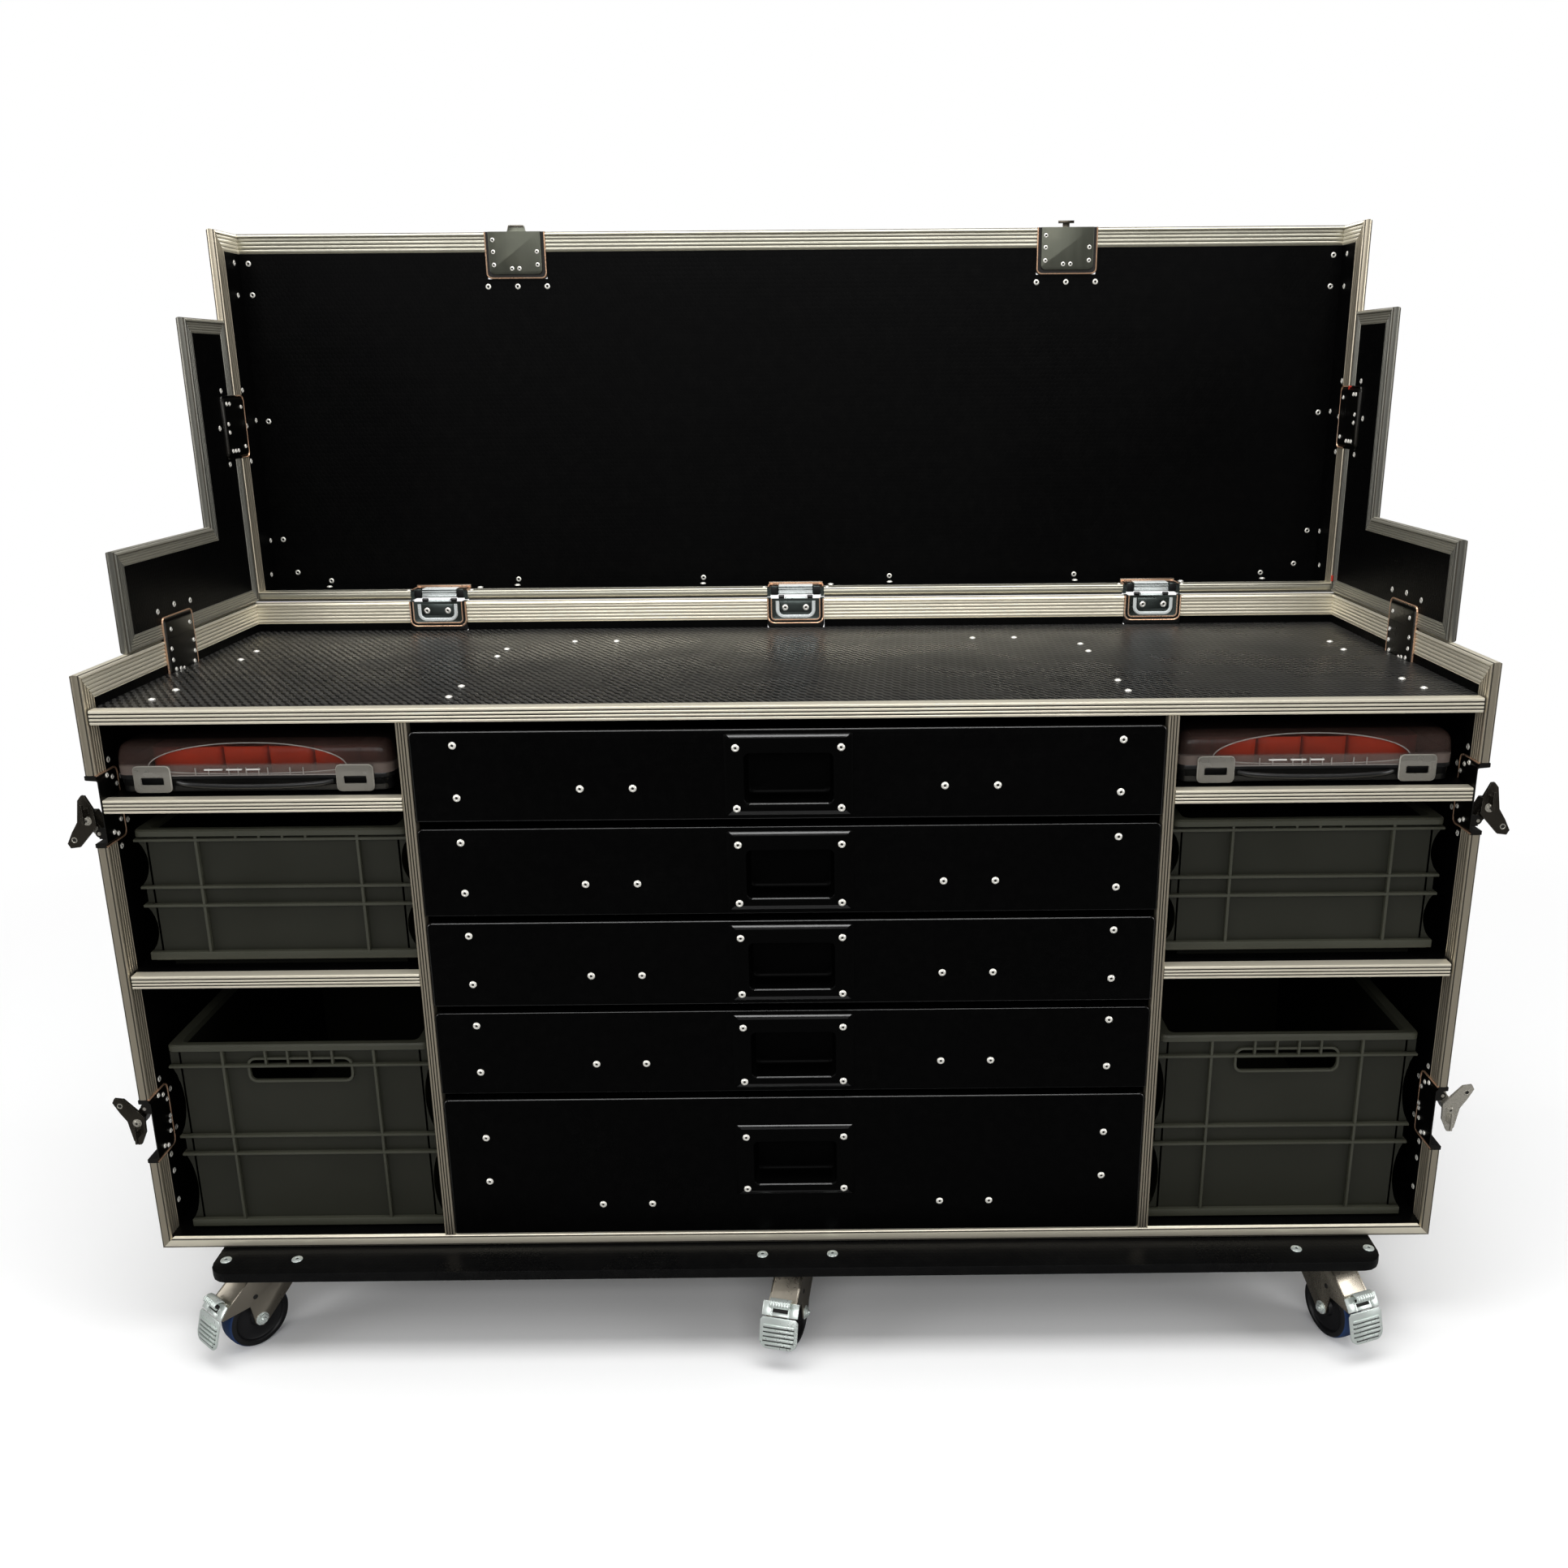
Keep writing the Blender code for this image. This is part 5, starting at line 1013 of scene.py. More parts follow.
for side_name, side in SIDES.items():
    back = LID_FRONT - GAP
    edge = DISH / 2 + 0.008
    spots = [(back - 0.05, WING_LATCH_Z + edge), (back - 0.074, WING_LATCH_Z),
             (back - 0.05, WING_LATCH_Z - edge), (RIM_LATCH_Y - edge + 0.004, HEIGHT + 0.046),
             (RIM_LATCH_Y, HEIGHT + 0.049), (RIM_LATCH_Y + edge - 0.004, HEIGHT + 0.046)]
    rivets(wing_rivets[side_name], [(side * SIDE_FACE, y, z) for y, z in spots], (-side, 0, 0))
    rivets(lid_rivets, [(side * SIDE_FACE, LID_FRONT + KEEPER_DISH_DEPTH + 0.008, WING_LATCH_Z + z)
                        for z in (-edge, 0.0, edge)], (-side, 0, 0))
for name, shape, body in (("rivets_case", case_rivets, "case"), ("rivets_lid", lid_rivets, "lid"),
                          ("rivets_wing_left", wing_rivets["left"], "wing_left"),
                          ("rivets_wing_right", wing_rivets["right"], "wing_right"),
                          ("base_dish_rivets", base_dishes.rivets, "case"),
                          ("base_hinge_screws", base_hinges.rivets, "case"),
                          ("lid_dish_rivets", lid_dishes.rivets, "lid"),
                          ("wing_dish_rivets_left", wing_dishes["left"].rivets, "wing_left"),
                          ("wing_dish_rivets_right", wing_dishes["right"].rivets, "wing_right")):
    piece(name, shape, RIVET_METALS, body)

# Rivets along the outside corner angles, which the photo doesn't show
case_outside, lid_outside = Shape(), Shape()
for side in SIDES.values():
    outer, out = side * (HALF_WIDTH + 0.0002), (side, 0, 0)
    ys = [0.065 + 0.135 * step for step in range(5) if 0.065 + 0.135 * step < DEPTH - 0.05]
    rivets(case_outside, [(outer, y, 0.019) for y in ys], out, small=True)
    case_zs = [0.075 + 0.155 * step for step in range(6) if 0.075 + 0.155 * step < HEIGHT - 0.06]
    lid_zs = [LID_BOTTOM + 0.055 + 0.135 * step for step in range(5)]
    for shape, back, zs in ((case_outside, DEPTH, case_zs),
                            (lid_outside, LID_BACK, [z for z in lid_zs if z < LID_TOP - 0.05])):
        rivets(shape, [(outer, back - 0.019, z) for z in zs], out, small=True)
        rivets(shape, [(side * (HALF_WIDTH - 0.019), back, z) for z in zs], BACK, small=True)
for name, shape, back, low_z in (("case", case_outside, DEPTH, 0.0),
                                 ("lid", lid_outside, LID_BACK, LID_BOTTOM)):
    rivets(shape, [(-0.9 + 0.15 * step, back, low_z + 0.019) for step in range(13)], BACK, small=True)
    piece(f"corner_rivets_{name}", shape, RIVET_METALS, name)

# ---------------------------------------------------------------- drawers and their pulls

def edge_faces(shape, finish):
    """Gives the slanting faces of a rounded shape their own finish."""
    for index, face in enumerate(shape.faces):
        corners = [Vector(shape.points[corner]) for corner in face[:3]]
        way = (corners[1] - corners[0]).cross(corners[2] - corners[1])
        if way.length > 0 and max(abs(value) for value in way.normalized()) < 0.995:
            shape.finishes[index] = finish


PULL_HALF = (0.0915, 0.0605)
POCKET_HALF = (0.064, 0.037)
POCKET_DROP = 0.0055
# Loops of a pull: whether round its pocket, wider by, higher by, back from the front, corner radius
PULL_LOOPS = ((1, -90, -80, 394, 90), (1, -22, -12, 352, 100), (1, 10, 10, 60, 90), (1, 10, 10, -2, 90),
              (0, -4, -4, -3, 30), (0, 0, 0, -6, 30), (0, -6, -6, -12, 30), (0, -52, -52, -29, 30),
              (0, -66, -66, -30, 30), (1, 14, 14, -30, 80), (1, 2, 2, -24, 80), (1, -5, -5, -6, 80),
              (1, -35, -25, 335, 90), (1, -55, -45, 368, 90), (1, -100, -90, 379, 80))
PULL_RIM = (6, 8)           # the loops between which its outer edge lies
POCKET_RIM = (9, 11)
DEEP_DRAWER = 5


def drawer_pull(middle):
    """A pressed pull with its pocket; edges that catch the light have their own finish."""
    hole = middle - POCKET_DROP
    loops = []
    for pocket, *row in PULL_LOOPS:
        (wider, higher, back, radius), = tenths(row)
        half_x, half_z = POCKET_HALF if pocket else PULL_HALF
        half_x, half_z, centre = half_x + wider, half_z + higher, hole if pocket else middle
        loops.append([(x, back, centre + z)
                      for x, z in rounded_outline((-half_x, -half_z), (half_x, half_z), radius, 6)])
    pull = loft(loops)
    sides = len(loops[0])
    for first, last in (PULL_RIM, POCKET_RIM):
        for index in range(first * sides, last * sides):
            heights = [pull.points[corner][2] for corner in pull.faces[index]]
            widths = [pull.points[corner][0] for corner in pull.faces[index]]
            level = max(widths) - min(widths) > 4 * (max(heights) - min(heights))
            if level and (first == PULL_RIM[0] or heights[0] < hole):
                pull.finishes[index] = 2
    pull.finishes[11 * sides:14 * sides] = [1] * (3 * sides)
    pull.finishes[-1] = 1
    return pull


for number in range(1, DEEP_DRAWER + 1):
    body, node = f"drawer_body_{number}", f"drawer_{number}"
    front = copied(node, 0.0016, 3, 40)
    edge_faces(front, 1)
    piece(f"drawer_rounded_{number}", front, [BLACK_FRONT, BLACK_GLOSS], body, node, 40)
    low, high = cabinet_box(f"drawer_pull_{number}")
    middle = (low.z + high.z) / 2
    piece(f"drawer_pull_pressed_{number}", drawer_pull(middle), [BLACK_STEEL, POCKET_BLACK, BLACK_GLOSS],
          body, f"drawer_pull_{number}", 45)
    spots = [(0.475, middle + 0.0465), (0.475, middle - 0.031), (0.2985, middle - 0.019),
             (0.223, middle - 0.019)]
    if number == DEEP_DRAWER:
        spots = [(0.4755, 0.1915), (0.4755, 0.1155), (0.3015, 0.073), (0.2245, 0.073)]
    heads = Shape()
    rivets(heads, [(side * x, 0.0, z) for x, z in spots for side in SIDES.values()], FRONT)
    rivets(heads, [(side * 0.075, -0.003, z) for side in SIDES.values()
                   for z in (middle + PULL_HALF[1] - 0.0205, middle - PULL_HALF[1] + 0.0105)], FRONT)
    piece(f"drawer_rivets_{number}", heads, RIVET_METALS, body)

# ---------------------------------------------------------------- stacking crates

RIB, CRATE_WALL = 0.008, 0.003
HAND_HOLE = (0.078, 0.018)


def scalloped(half, low, high, steps=8, deep=0.013):
    """One side's outline of a crate's end wall between two heights: a shallow arc cut inward."""
    return [(half - deep * math.sin(math.pi * step / steps) ** 0.75, low + (high - low) * (step / steps))
            for step in range(1, steps)]


def rim_ring(half, deep, low, high, inner_x, inner_y):
    """The crate's rolled rim: a band round all four sides with rounded corners."""
    loops = []
    for inset, z in ((0.0, low), (0.0, high - 0.0025), (0.0025, high)):
        outline = rounded_outline((-half + inset, inset), (half - inset, deep - inset), 0.012 - inset / 2, 4)
        loops.append([(x, y, z) for x, y in outline])
    inner = rounded_outline((-inner_x, inner_y), (inner_x, deep - inner_y), 0.01, 4)
    return loft(loops + [[(x, y, z) for x, y in inner] for z in (high, low)], closed=True)


def plate_with_hole(outline, hole_z, front, back):
    """A crate's end wall with its hand hole, in four parts round the hole."""
    made = Shape()
    hx, hz = HAND_HOLE
    right = [(x, z) for x, z in outline if x > 0]
    lower = [(x, z) for x, z in right if z <= hole_z - hz]
    upper = [(x, z) for x, z in right if z >= hole_z + hz]
    middle = [(x, z) for x, z in right if hole_z - hz < z < hole_z + hz]
    at_low = (lower[-1][0] + (middle + upper)[0][0]) / 2
    at_high = ((lower + middle)[-1][0] + upper[0][0]) / 2
    for band in (lower + [(at_low, hole_z - hz)], [(at_high, hole_z + hz)] + upper):
        made.join(extrude(band + [(-x, z) for x, z in reversed(band)], "y", front, back))
    for side in SIDES.values():
        cheek = [(hx, hole_z - hz), (at_low, hole_z - hz), *middle, (at_high, hole_z + hz), (hx, hole_z + hz)]
        made.join(extrude([(side * x, z) for x, z in cheek], "y", front, back))
    return made


def hole_frame(hole_z, front, back, thick=0.003):
    """The raised rounded lip round a hand hole."""
    outlines = []
    for more, radius in ((thick, 0.01 + thick), (-0.0006, 0.01)):
        hx, hz = HAND_HOLE[0] + more, HAND_HOLE[1] + more
        outlines.append(rounded_outline((-hx, -hz), (hx, hz), radius))
    return loft([[(x, y, hole_z + z) for x, z in outlines[number]]
                 for number, y in ((0, front), (0, back), (1, back), (1, front))], closed=True)


def crate(node, hand_holes):
    """A ribbed stacking crate in the place of its CAD node."""
    low, high = cabinet_box(node)
    half = (high.x - low.x) / 2
    deep, height = high.y - low.y, high.z - low.z
    made = Shape()
    body = half - 0.0145
    if hand_holes:
        base, middle, spread, band, bars = 0.0, height * 0.505, 0.031, 0.038, (-0.117, 0.115)
    else:
        base, middle, spread, band, bars = 0.012, height * 0.585, 0.029, 0.018, (-0.11, 0.126)

    def ends(inset, reach=0.001):
        """A stretch from front to back at the front end, and its mirror at the back."""
        return (inset, RIB + reach), (deep - RIB - reach, deep - inset)

    levels = [(base + 0.004, base + 0.016), (middle - spread, middle - spread + 0.004),
              (middle, middle + 0.004), (height - band, height - band + 0.004), (height - 0.01, height)]
    edge = half - 0.0012
    right = [(edge - 0.003, base), (edge, base + 0.004), (edge, levels[0][1])]
    right += scalloped(edge, levels[0][1], levels[1][0])
    right += [(edge, levels[1][0]), (edge - 0.004, levels[1][1]), (edge - 0.004, levels[2][0])]
    right += [(edge, levels[2][1])]
    right += scalloped(edge, levels[2][1], levels[3][0]) + [(edge, levels[3][0]), (edge, height - 0.002)]
    outline = right + [(-x, z) for x, z in reversed(right)]
    hole_z = height - 0.044
    for front, back in ends(RIB, CRATE_WALL):
        made.join(plate_with_hole(outline, hole_z, front, back) if hand_holes
                  else extrude(outline, "y", front, back))
    made.pair((body - CRATE_WALL, RIB, base + 0.002), (body, deep - RIB, height - 0.001))
    made.block((-body, RIB, base + 0.002), (body, deep - RIB, base + 0.0055))
    if base:
        made.block((-body + 0.01, RIB + 0.014, 0.0), (body - 0.01, deep - RIB - 0.014, base + 0.003), 0.0, 1)
    plain = len(made.faces)
    for number, (z0, z1) in enumerate(levels[:-1]):
        reach = half - (0.0005 if number in (1, 2) else 0.0)
        for y0, y1 in ends(0.0):
            made.block((-reach, y0, z0), (reach, y1, z1), 0.0007)
        made.pair((body - 0.001, 0.006, z0), (reach, deep - 0.006, z1), 0.0007)
    made.join(rim_ring(half, deep, *levels[-1], body - 0.004, RIB + 0.004))
    for x in bars:
        for y0, y1 in ends(0.0008):
            made.block((x - 0.002, y0, base + 0.006), (x + 0.002, y1, height - 0.004), 0.0006)
    for x in (-0.051, -0.017, 0.017, 0.051):
        for y0, y1 in ends(0.001):
            made.block((x - 0.0018, y0, height - band + 0.002), (x + 0.0018, y1, height - 0.006), 0.0006)
    for part in (0.16, 0.39, 0.61, 0.84):
        y = deep * part
        made.pair((body - 0.001, y, base + 0.006), (half - 0.001, y + 0.004, height - 0.004), 0.0006)
    if hand_holes:
        for front, back in ends(0.0035, 0.0005):
            made.join(hole_frame(hole_z, front, back))
    # Ribs, bars, rim and hand-hole lips are painted lighter than the walls, as a painted highlight for the
    # light on their edges.
    made.finishes[plain:] = [2] * (len(made.faces) - plain)
    # The inner faces of the end and side walls are painted darker, as painted shade inside the crate.
    inner_rows = (RIB + CRATE_WALL, deep - RIB - CRATE_WALL)
    for index, face in enumerate(made.faces):
        corners = [made.points[corner] for corner in face]
        end_wall = any(all(abs(y - row) < 0.0003 for x, y, z in corners) for row in inner_rows)
        side_wall = all(abs(x) < body - CRATE_WALL + 0.0003 and RIB - 0.0003 < y < deep - RIB + 0.0003
                        and z < height - 0.0005 for x, y, z in corners)
        if end_wall or side_wall:
            made.finishes[index] = 1
    placed = Shape()
    placed.join(made, Matrix.Translation(((low.x + high.x) / 2, low.y, low.z)))
    return placed


for side_name in SIDES:
    for level in ("upper", "lower"):
        node = f"crate_{side_name}_{level}"
        piece(f"{node}_ribbed", crate(node, level == "lower"), [CRATE_PLASTIC, CRATE_INSIDE_SHADE, CRATE_RIB_HIGHLIGHT],
              f"crate_body_{side_name}_{level}", node, 40)

# ---------------------------------------------------------------- small-parts boxes

def dome(half_x, half_y, profile, radius, centre=(0.0, 0.0), steps=8):
    """A solid of rounded rectangles drawn in and raised along a profile of (inset, height)."""
    loops = []
    for inset, height in profile:
        x, y = half_x - inset, half_y - inset
        outline = rounded_outline((-x, -y), (x, y), max(radius - inset * 0.6, 0.004), steps)
        loops.append([(centre[0] + x, centre[1] + y, height) for x, y in outline])
    return loft(loops)


def turns(count):
    """Angles that go round a circle in equal steps."""
    return [2 * math.pi * step / count for step in range(count)]


def bow(half, reach, rise, radius, start, steps=18, sides=10):
    """A round carry handle bowed forward between two points at its tray's front."""
    path = []
    for step in range(steps + 1):
        across = 2 * (step / steps) - 1
        path.append(Vector((across * half, start - reach * (1 - across ** 4) ** 0.5,
                            rise - 0.004 * (1 - across * across))))
    loops = []
    for index, spot in enumerate(path):
        out = Vector(UP)
        flat = (path[min(index + 1, steps)] - path[max(index - 1, 0)]).normalized().cross(out).normalized()
        loops.append([spot + flat * radius * math.cos(angle) + out * radius * 1.25 * math.sin(angle)
                      for angle in turns(sides)])
    return loft(loops, caps_first=True)


def lid_outline(half_x, half_y, inset, radius, fine=40, corner=6):
    """A rounded rectangle drawn in by an inset, with its front finely divided."""
    hx, hy = half_x - inset, half_y - inset
    turn = max(radius - inset * 0.5, 0.004)
    points = [(-hx + turn + 2 * (hx - turn) * step / fine, -hy) for step in range(fine)]
    return points + rounded_outline((-hx, -hy), (hx, hy), turn, corner)[:-1]


def rod(path, radius, sides=8):
    """A round closed rod along a loop of points."""
    loops = []
    for index, spot in enumerate(path):
        way = (path[(index + 1) % len(path)] - path[index - 1]).normalized()
        first = way.cross(Vector((0, 1, 0.3))).normalized()
        second = way.cross(first).normalized()
        loops.append([spot + first * radius * math.cos(angle) + second * radius * math.sin(angle)
                      for angle in turns(sides)])
    return loft(loops, closed=True)


OVAL_HALF = 0.143
OVAL_ABOVE = 0.0338
OVAL_BELOW = 0.0095
OVAL_POWER = 2.3


def windowed_clear(name, centre_x, centre_z):
    """Hazy smoky plastic that is clear inside an oval on the lid's front; back from its front, over the top,
    it is near-black and nearly opaque as painted shade.
    """
    made = Finish(name, (0.06, 0.044, 0.038), 0.22, specular=0.18)
    x, y, z = made.split("Object")
    across = made.math("DIVIDE", made.math("SUBTRACT", x, centre_x), OVAL_HALF)
    rise = made.math("SUBTRACT", z, centre_z)
    upper = made.math("DIVIDE", made.math("MAXIMUM", rise, 0.0), OVAL_ABOVE)
    lower = made.math("ABSOLUTE", made.math("DIVIDE", made.math("MINIMUM", rise, 0.0), OVAL_BELOW))
    far = made.plus(made.math("POWER", made.math("ABSOLUTE", across), OVAL_POWER),
                    made.plus(made.math("POWER", upper, 2.0), made.math("POWER", lower, 2.0)))
    front = made.math("LESS_THAN", y, 0.06)
    inside = made.times(made.spread(far, 1.0, 0.0, 0.92, 1.04), front)
    low = made.spread(z, 1.0, 0.0, centre_z + 0.002, centre_z + 0.0065)
    haze = made.plus(made.spread(made.noise(17.0, 3.0), 0.6, 0.7), made.times(inside, -0.42))
    haze = made.plus(haze, made.times(low, 0.3))
    # Back from the front the lid is made nearly opaque: painted shade on its top.
    top = made.times(made.math("SUBTRACT", 1.0, front), 0.9)
    made.links.new(made.plus(made.times(haze, front), top), made.shader.inputs["Alpha"])
    smoke = made.mix(made.spread(made.noise(11.0, 3.0), 0.0, 1.0), (0.05, 0.03, 0.025), (0.03, 0.02, 0.017))
    # Over the top the colour is near-black: painted shade.
    smoke = made.mix(front, (0.012, 0.008, 0.007), smoke)
    made.paint(made.mix(low, smoke, (0.125, 0.098, 0.086)))
    made.shine(made.spread(made.noise(12.0, 2.0), 0.18, 0.26))
    made.bump(made.noise(9.0, 2.0), 0.0004, 0.1)
    return made.made


TRAY_FOOT = tenths((45, 26), (30, 35))
TRAY_RIM = tenths((30, -20), (26, 0), (4, 0), (0, -10), (0, -60), (22, -80))
TRAY_SIDE = tenths((35, 60), (65, 12), (100, 0))
BIN_PROFILE = tenths((60, 50), (18, 80), (14, 665), (6, 676), (-4, 672), (0, 650), (8, 60), (50, 34))
LID_PROFILE = tenths((0, 0), (0, 120), (5, 220), (14, 300), (30, 362), (58, 412), (96, 444), (150, 462))
LID_SHEET = 0.0015
BIN_EDGES = (-0.15, -0.0475, 0.018, 0.0835, 0.149, 0.178)
BIN_ROWS = 3
STRIP_RIBS = (-0.083, -0.064, -0.035, -0.0215, -0.01, 0.008, 0.021, 0.053, 0.072)
# Stretches across the lid's front, in tenths of a millimetre, of the pale bars painted as highlights
STRIP_SHINES = ((-700, -440), (-385, -160), (-95, 100))
CLASP_X = 0.146


def parts_bins(half_y, side):
    """The orange insets, in three rows."""
    bins = Shape()
    step_y = (2 * half_y - 0.018) / BIN_ROWS
    for first, last in zip(BIN_EDGES, BIN_EDGES[1:]):
        for row in range(BIN_ROWS):
            centre = (-side * (first + last) / 2, -half_y + 0.009 + (row + 0.5) * step_y)
            bins.join(dome((last - first) / 2 - 0.0012, step_y / 2 - 0.0012, BIN_PROFILE, 0.008, centre, 3))
    return bins


def oval_line(outside, half_y, base_z):
    """The raised line round the lid's clear oval, laid on the lid's front."""
    path = []
    for angle in turns(96):
        c, s = math.cos(angle), math.sin(angle)
        z = 0.0105 + (OVAL_ABOVE if s > 0 else OVAL_BELOW) * s
        x = math.copysign(abs(c) ** (2 / OVAL_POWER), c) * OVAL_HALF
        for (a0, z0), (a1, z1) in zip(outside, outside[1:]):
            if z0 <= z <= z1:
                inset = a0 + (a1 - a0) * (z - z0) / (z1 - z0)
        path.append(Vector((-0.008 + x, -half_y + inset, base_z + z)))
    return rod(path, 0.001)


def clasp_tab(clasp, foot, top, face):
    """A clear clasp with its window."""
    outline = rounded_outline((clasp - 0.027, foot), (clasp + 0.027, top), 0.007, 4)
    hole = rounded_outline((clasp - 0.0165, foot + 0.0115), (clasp + 0.0165, foot + 0.023), 0.002, 4)
    soft = rounded_outline((clasp - 0.0262, foot + 0.0008), (clasp + 0.0262, top - 0.0008), 0.0062, 4)
    front, back = face - 0.0045, face - 0.0015
    loops = [[(x, y, z) for x, z in loop] for loop, y in
             ((outline, back), (outline, front + 0.0009), (soft, front), (hole, front), (hole, back))]
    # Its sides, rounded front edge and back take finish 3, paler, as a painted highlight on the clear edges.
    return loft(loops, [mark for mark in (3, 3, 0, 0, 3) for point in outline], closed=True)


for side_name, side in SIDES.items():
    low, high = cabinet_box(f"parts_box_{side_name}")
    half_x, half_y, tall = (high.x - low.x) / 2, (high.y - low.y) / 2, high.z - low.z
    origin = Vector(((low.x + high.x) / 2, (low.y + high.y) / 2, low.z))
    at = Matrix.Translation(origin)
    body = f"box_{side_name}"
    tray = Shape()
    profile = TRAY_FOOT + [(inset, tall + z) for inset, z in TRAY_RIM] + TRAY_SIDE
    tray.join(dome(half_x, half_y, profile, 0.016), at)
    tray.join(bow(0.112, 0.012, 0.017, 0.0034, -half_y + 0.002), at)
    piece(f"parts_tray_{side_name}", tray, [TRAY_PLASTIC_AND_PAN_SHADE], body, f"parts_box_{side_name}", 45)
    bins = Shape()
    bins.join(parts_bins(half_y, side), at)
    piece(f"parts_insets_{side_name}", bins, [ORANGE_PLASTIC], body, smooth=45)

    base_z = tall + GAP
    rise = cabinet_box(f"parts_box_lid_{side_name}")[1].z - low.z - base_z
    outside = LID_PROFILE + [(0.03, rise - 0.0003), (0.07, rise)]
    inside = [(inset + LID_SHEET, max(z - LID_SHEET, 0.0)) for inset, z in reversed(outside)]
    clear = Shape()
    clear.join(loft([[(x, y, base_z + z) for x, y in lid_outline(half_x, half_y, inset, 0.016)]
                     for inset, z in inside + outside]), at)
    # The raised line round the oval takes the pale clear finish, a painted highlight.
    clear.join(oval_line(outside, half_y, base_z), at, 1)
    window = windowed_clear(f"parts_lid_clear_{side_name}", origin.x - 0.008, low.z + base_z + 0.0105)
    piece(f"parts_lid_{side_name}", clear, [window, STRIP_CLEAR_HIGHLIGHT], body, f"parts_box_lid_{side_name}", 45)

    clasps, hinge_strip, shines = Shape(), Shape(), Shape()
    face = (0, -half_y, base_z)
    # The strip along the lid's lower edge and its ribs are pale, a painted highlight.
    hinge_strip.bit(face, (-1280, -12, -22), (1180, 4, -4), 4)
    for x in STRIP_RIBS:
        hinge_strip.bit((x, -half_y, base_z), (-8, -26, -10), (8, 4, 105), 4)
    # Pale bars on the lid's front stand for the shine on a ledge: painted highlights.
    for first, last in STRIP_SHINES:
        shines.bit(face, (first, -34, 66), (last, 4, 86), 5)
    clasps.join(hinge_strip, at, 1)
    clasps.join(shines, at, 2)
    hinge_z = base_z + 0.014
    for clasp in (-CLASP_X, CLASP_X):
        clasps.join(clasp_tab(clasp, hinge_z - 0.04, hinge_z, -half_y), at)
        clasps.bit((clasp, -half_y, hinge_z), (-260, -21, -100), (260, 2, -10), 4, 0, at)
    piece(f"parts_clasps_{side_name}", clasps, [CLASP_CLEAR, STRIP_CLEAR_HIGHLIGHT, STRIP_SHINE_HIGHLIGHT, CLASP_EDGE_HIGHLIGHT], body,
          smooth=45)

# ---------------------------------------------------------------- castors

WHEEL_HALF = 0.018
CASTORS = ["front_left", "front_centre", "front_right", "rear_left", "rear_centre", "rear_right"]
# Radii, and heights over the wheel's side, from the axle out to the middle of the tread
WHEEL_SIDE = tenths((65, 0), (125, 0), (135, 10), (155, 58), (170, 64), (350, 60), (372, 50), (384, 15),
                    (392, 10), (396, 16), (400, 10), (440, 8), (470, 22), (488, 52), (497, 100), (500, 180))
HUB_RINGS = 12
NUT_WASHER = tenths((0, -10), (105, -10), (105, 8), (95, 12), (0, 12))
AXLE_END = tenths((0, 0), (46, 0), (46, 52), (36, 64), (0, 64))
FORK_PIN = tenths((0, -10), (40, -10), (40, 2), (30, 6), (0, 6))
PEDAL_DOME = tenths((0, 0), (36, 0), (34, 12), (20, 20), (0, 22))
PEDAL_TAB = tenths((-40, -12), (-50, 45), (-30, 92), (10, 128), (50, 136), (86, 118), (102, 84), (98, 50),
                   (84, 50), (86, 80), (74, 104), (46, 118), (16, 110), (-16, 80), (-32, 42), (-22, -12))
PEDAL_WEDGE = tenths((465, 490), (545, 540), (672, 376), (665, 340))
BOARD_BOLT = tenths((0, -3), (75, -3), (85, 4), (80, 14), (52, 26), (32, 28), (26, 14), (0, 14))
BOARD_BOLT_XS = (-0.888, -0.7775, -0.053, 0.056, 0.78, 0.893)


def wheel():
    """A castor wheel about +Z: a round blue tyre on a dished black hub."""
    profile = [(radius, -WHEEL_HALF + height) for radius, height in WHEEL_SIDE]
    marks = [0] * HUB_RINGS + [1] * (len(profile) - 1 - HUB_RINGS)
    profile += [(radius, -z) for radius, z in reversed(profile[:-1])]
    return revolved(profile + [profile[0]], 64, marks + marks[::-1] + [0])


def fork_place(name):
    """A wheel's centre, and the way from its castor's swivel axis to it."""
    low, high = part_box(f"castor_wheel_{name}")
    centre = (low + high) / 2
    swivel = next(Vector(joint["pos_m"]) for joint in frame["joints"]
                  if joint["name"] == f"castor_swivel_{name}")
    return centre, Vector((centre.x - swivel.x, centre.y - swivel.y, 0.0)).normalized()


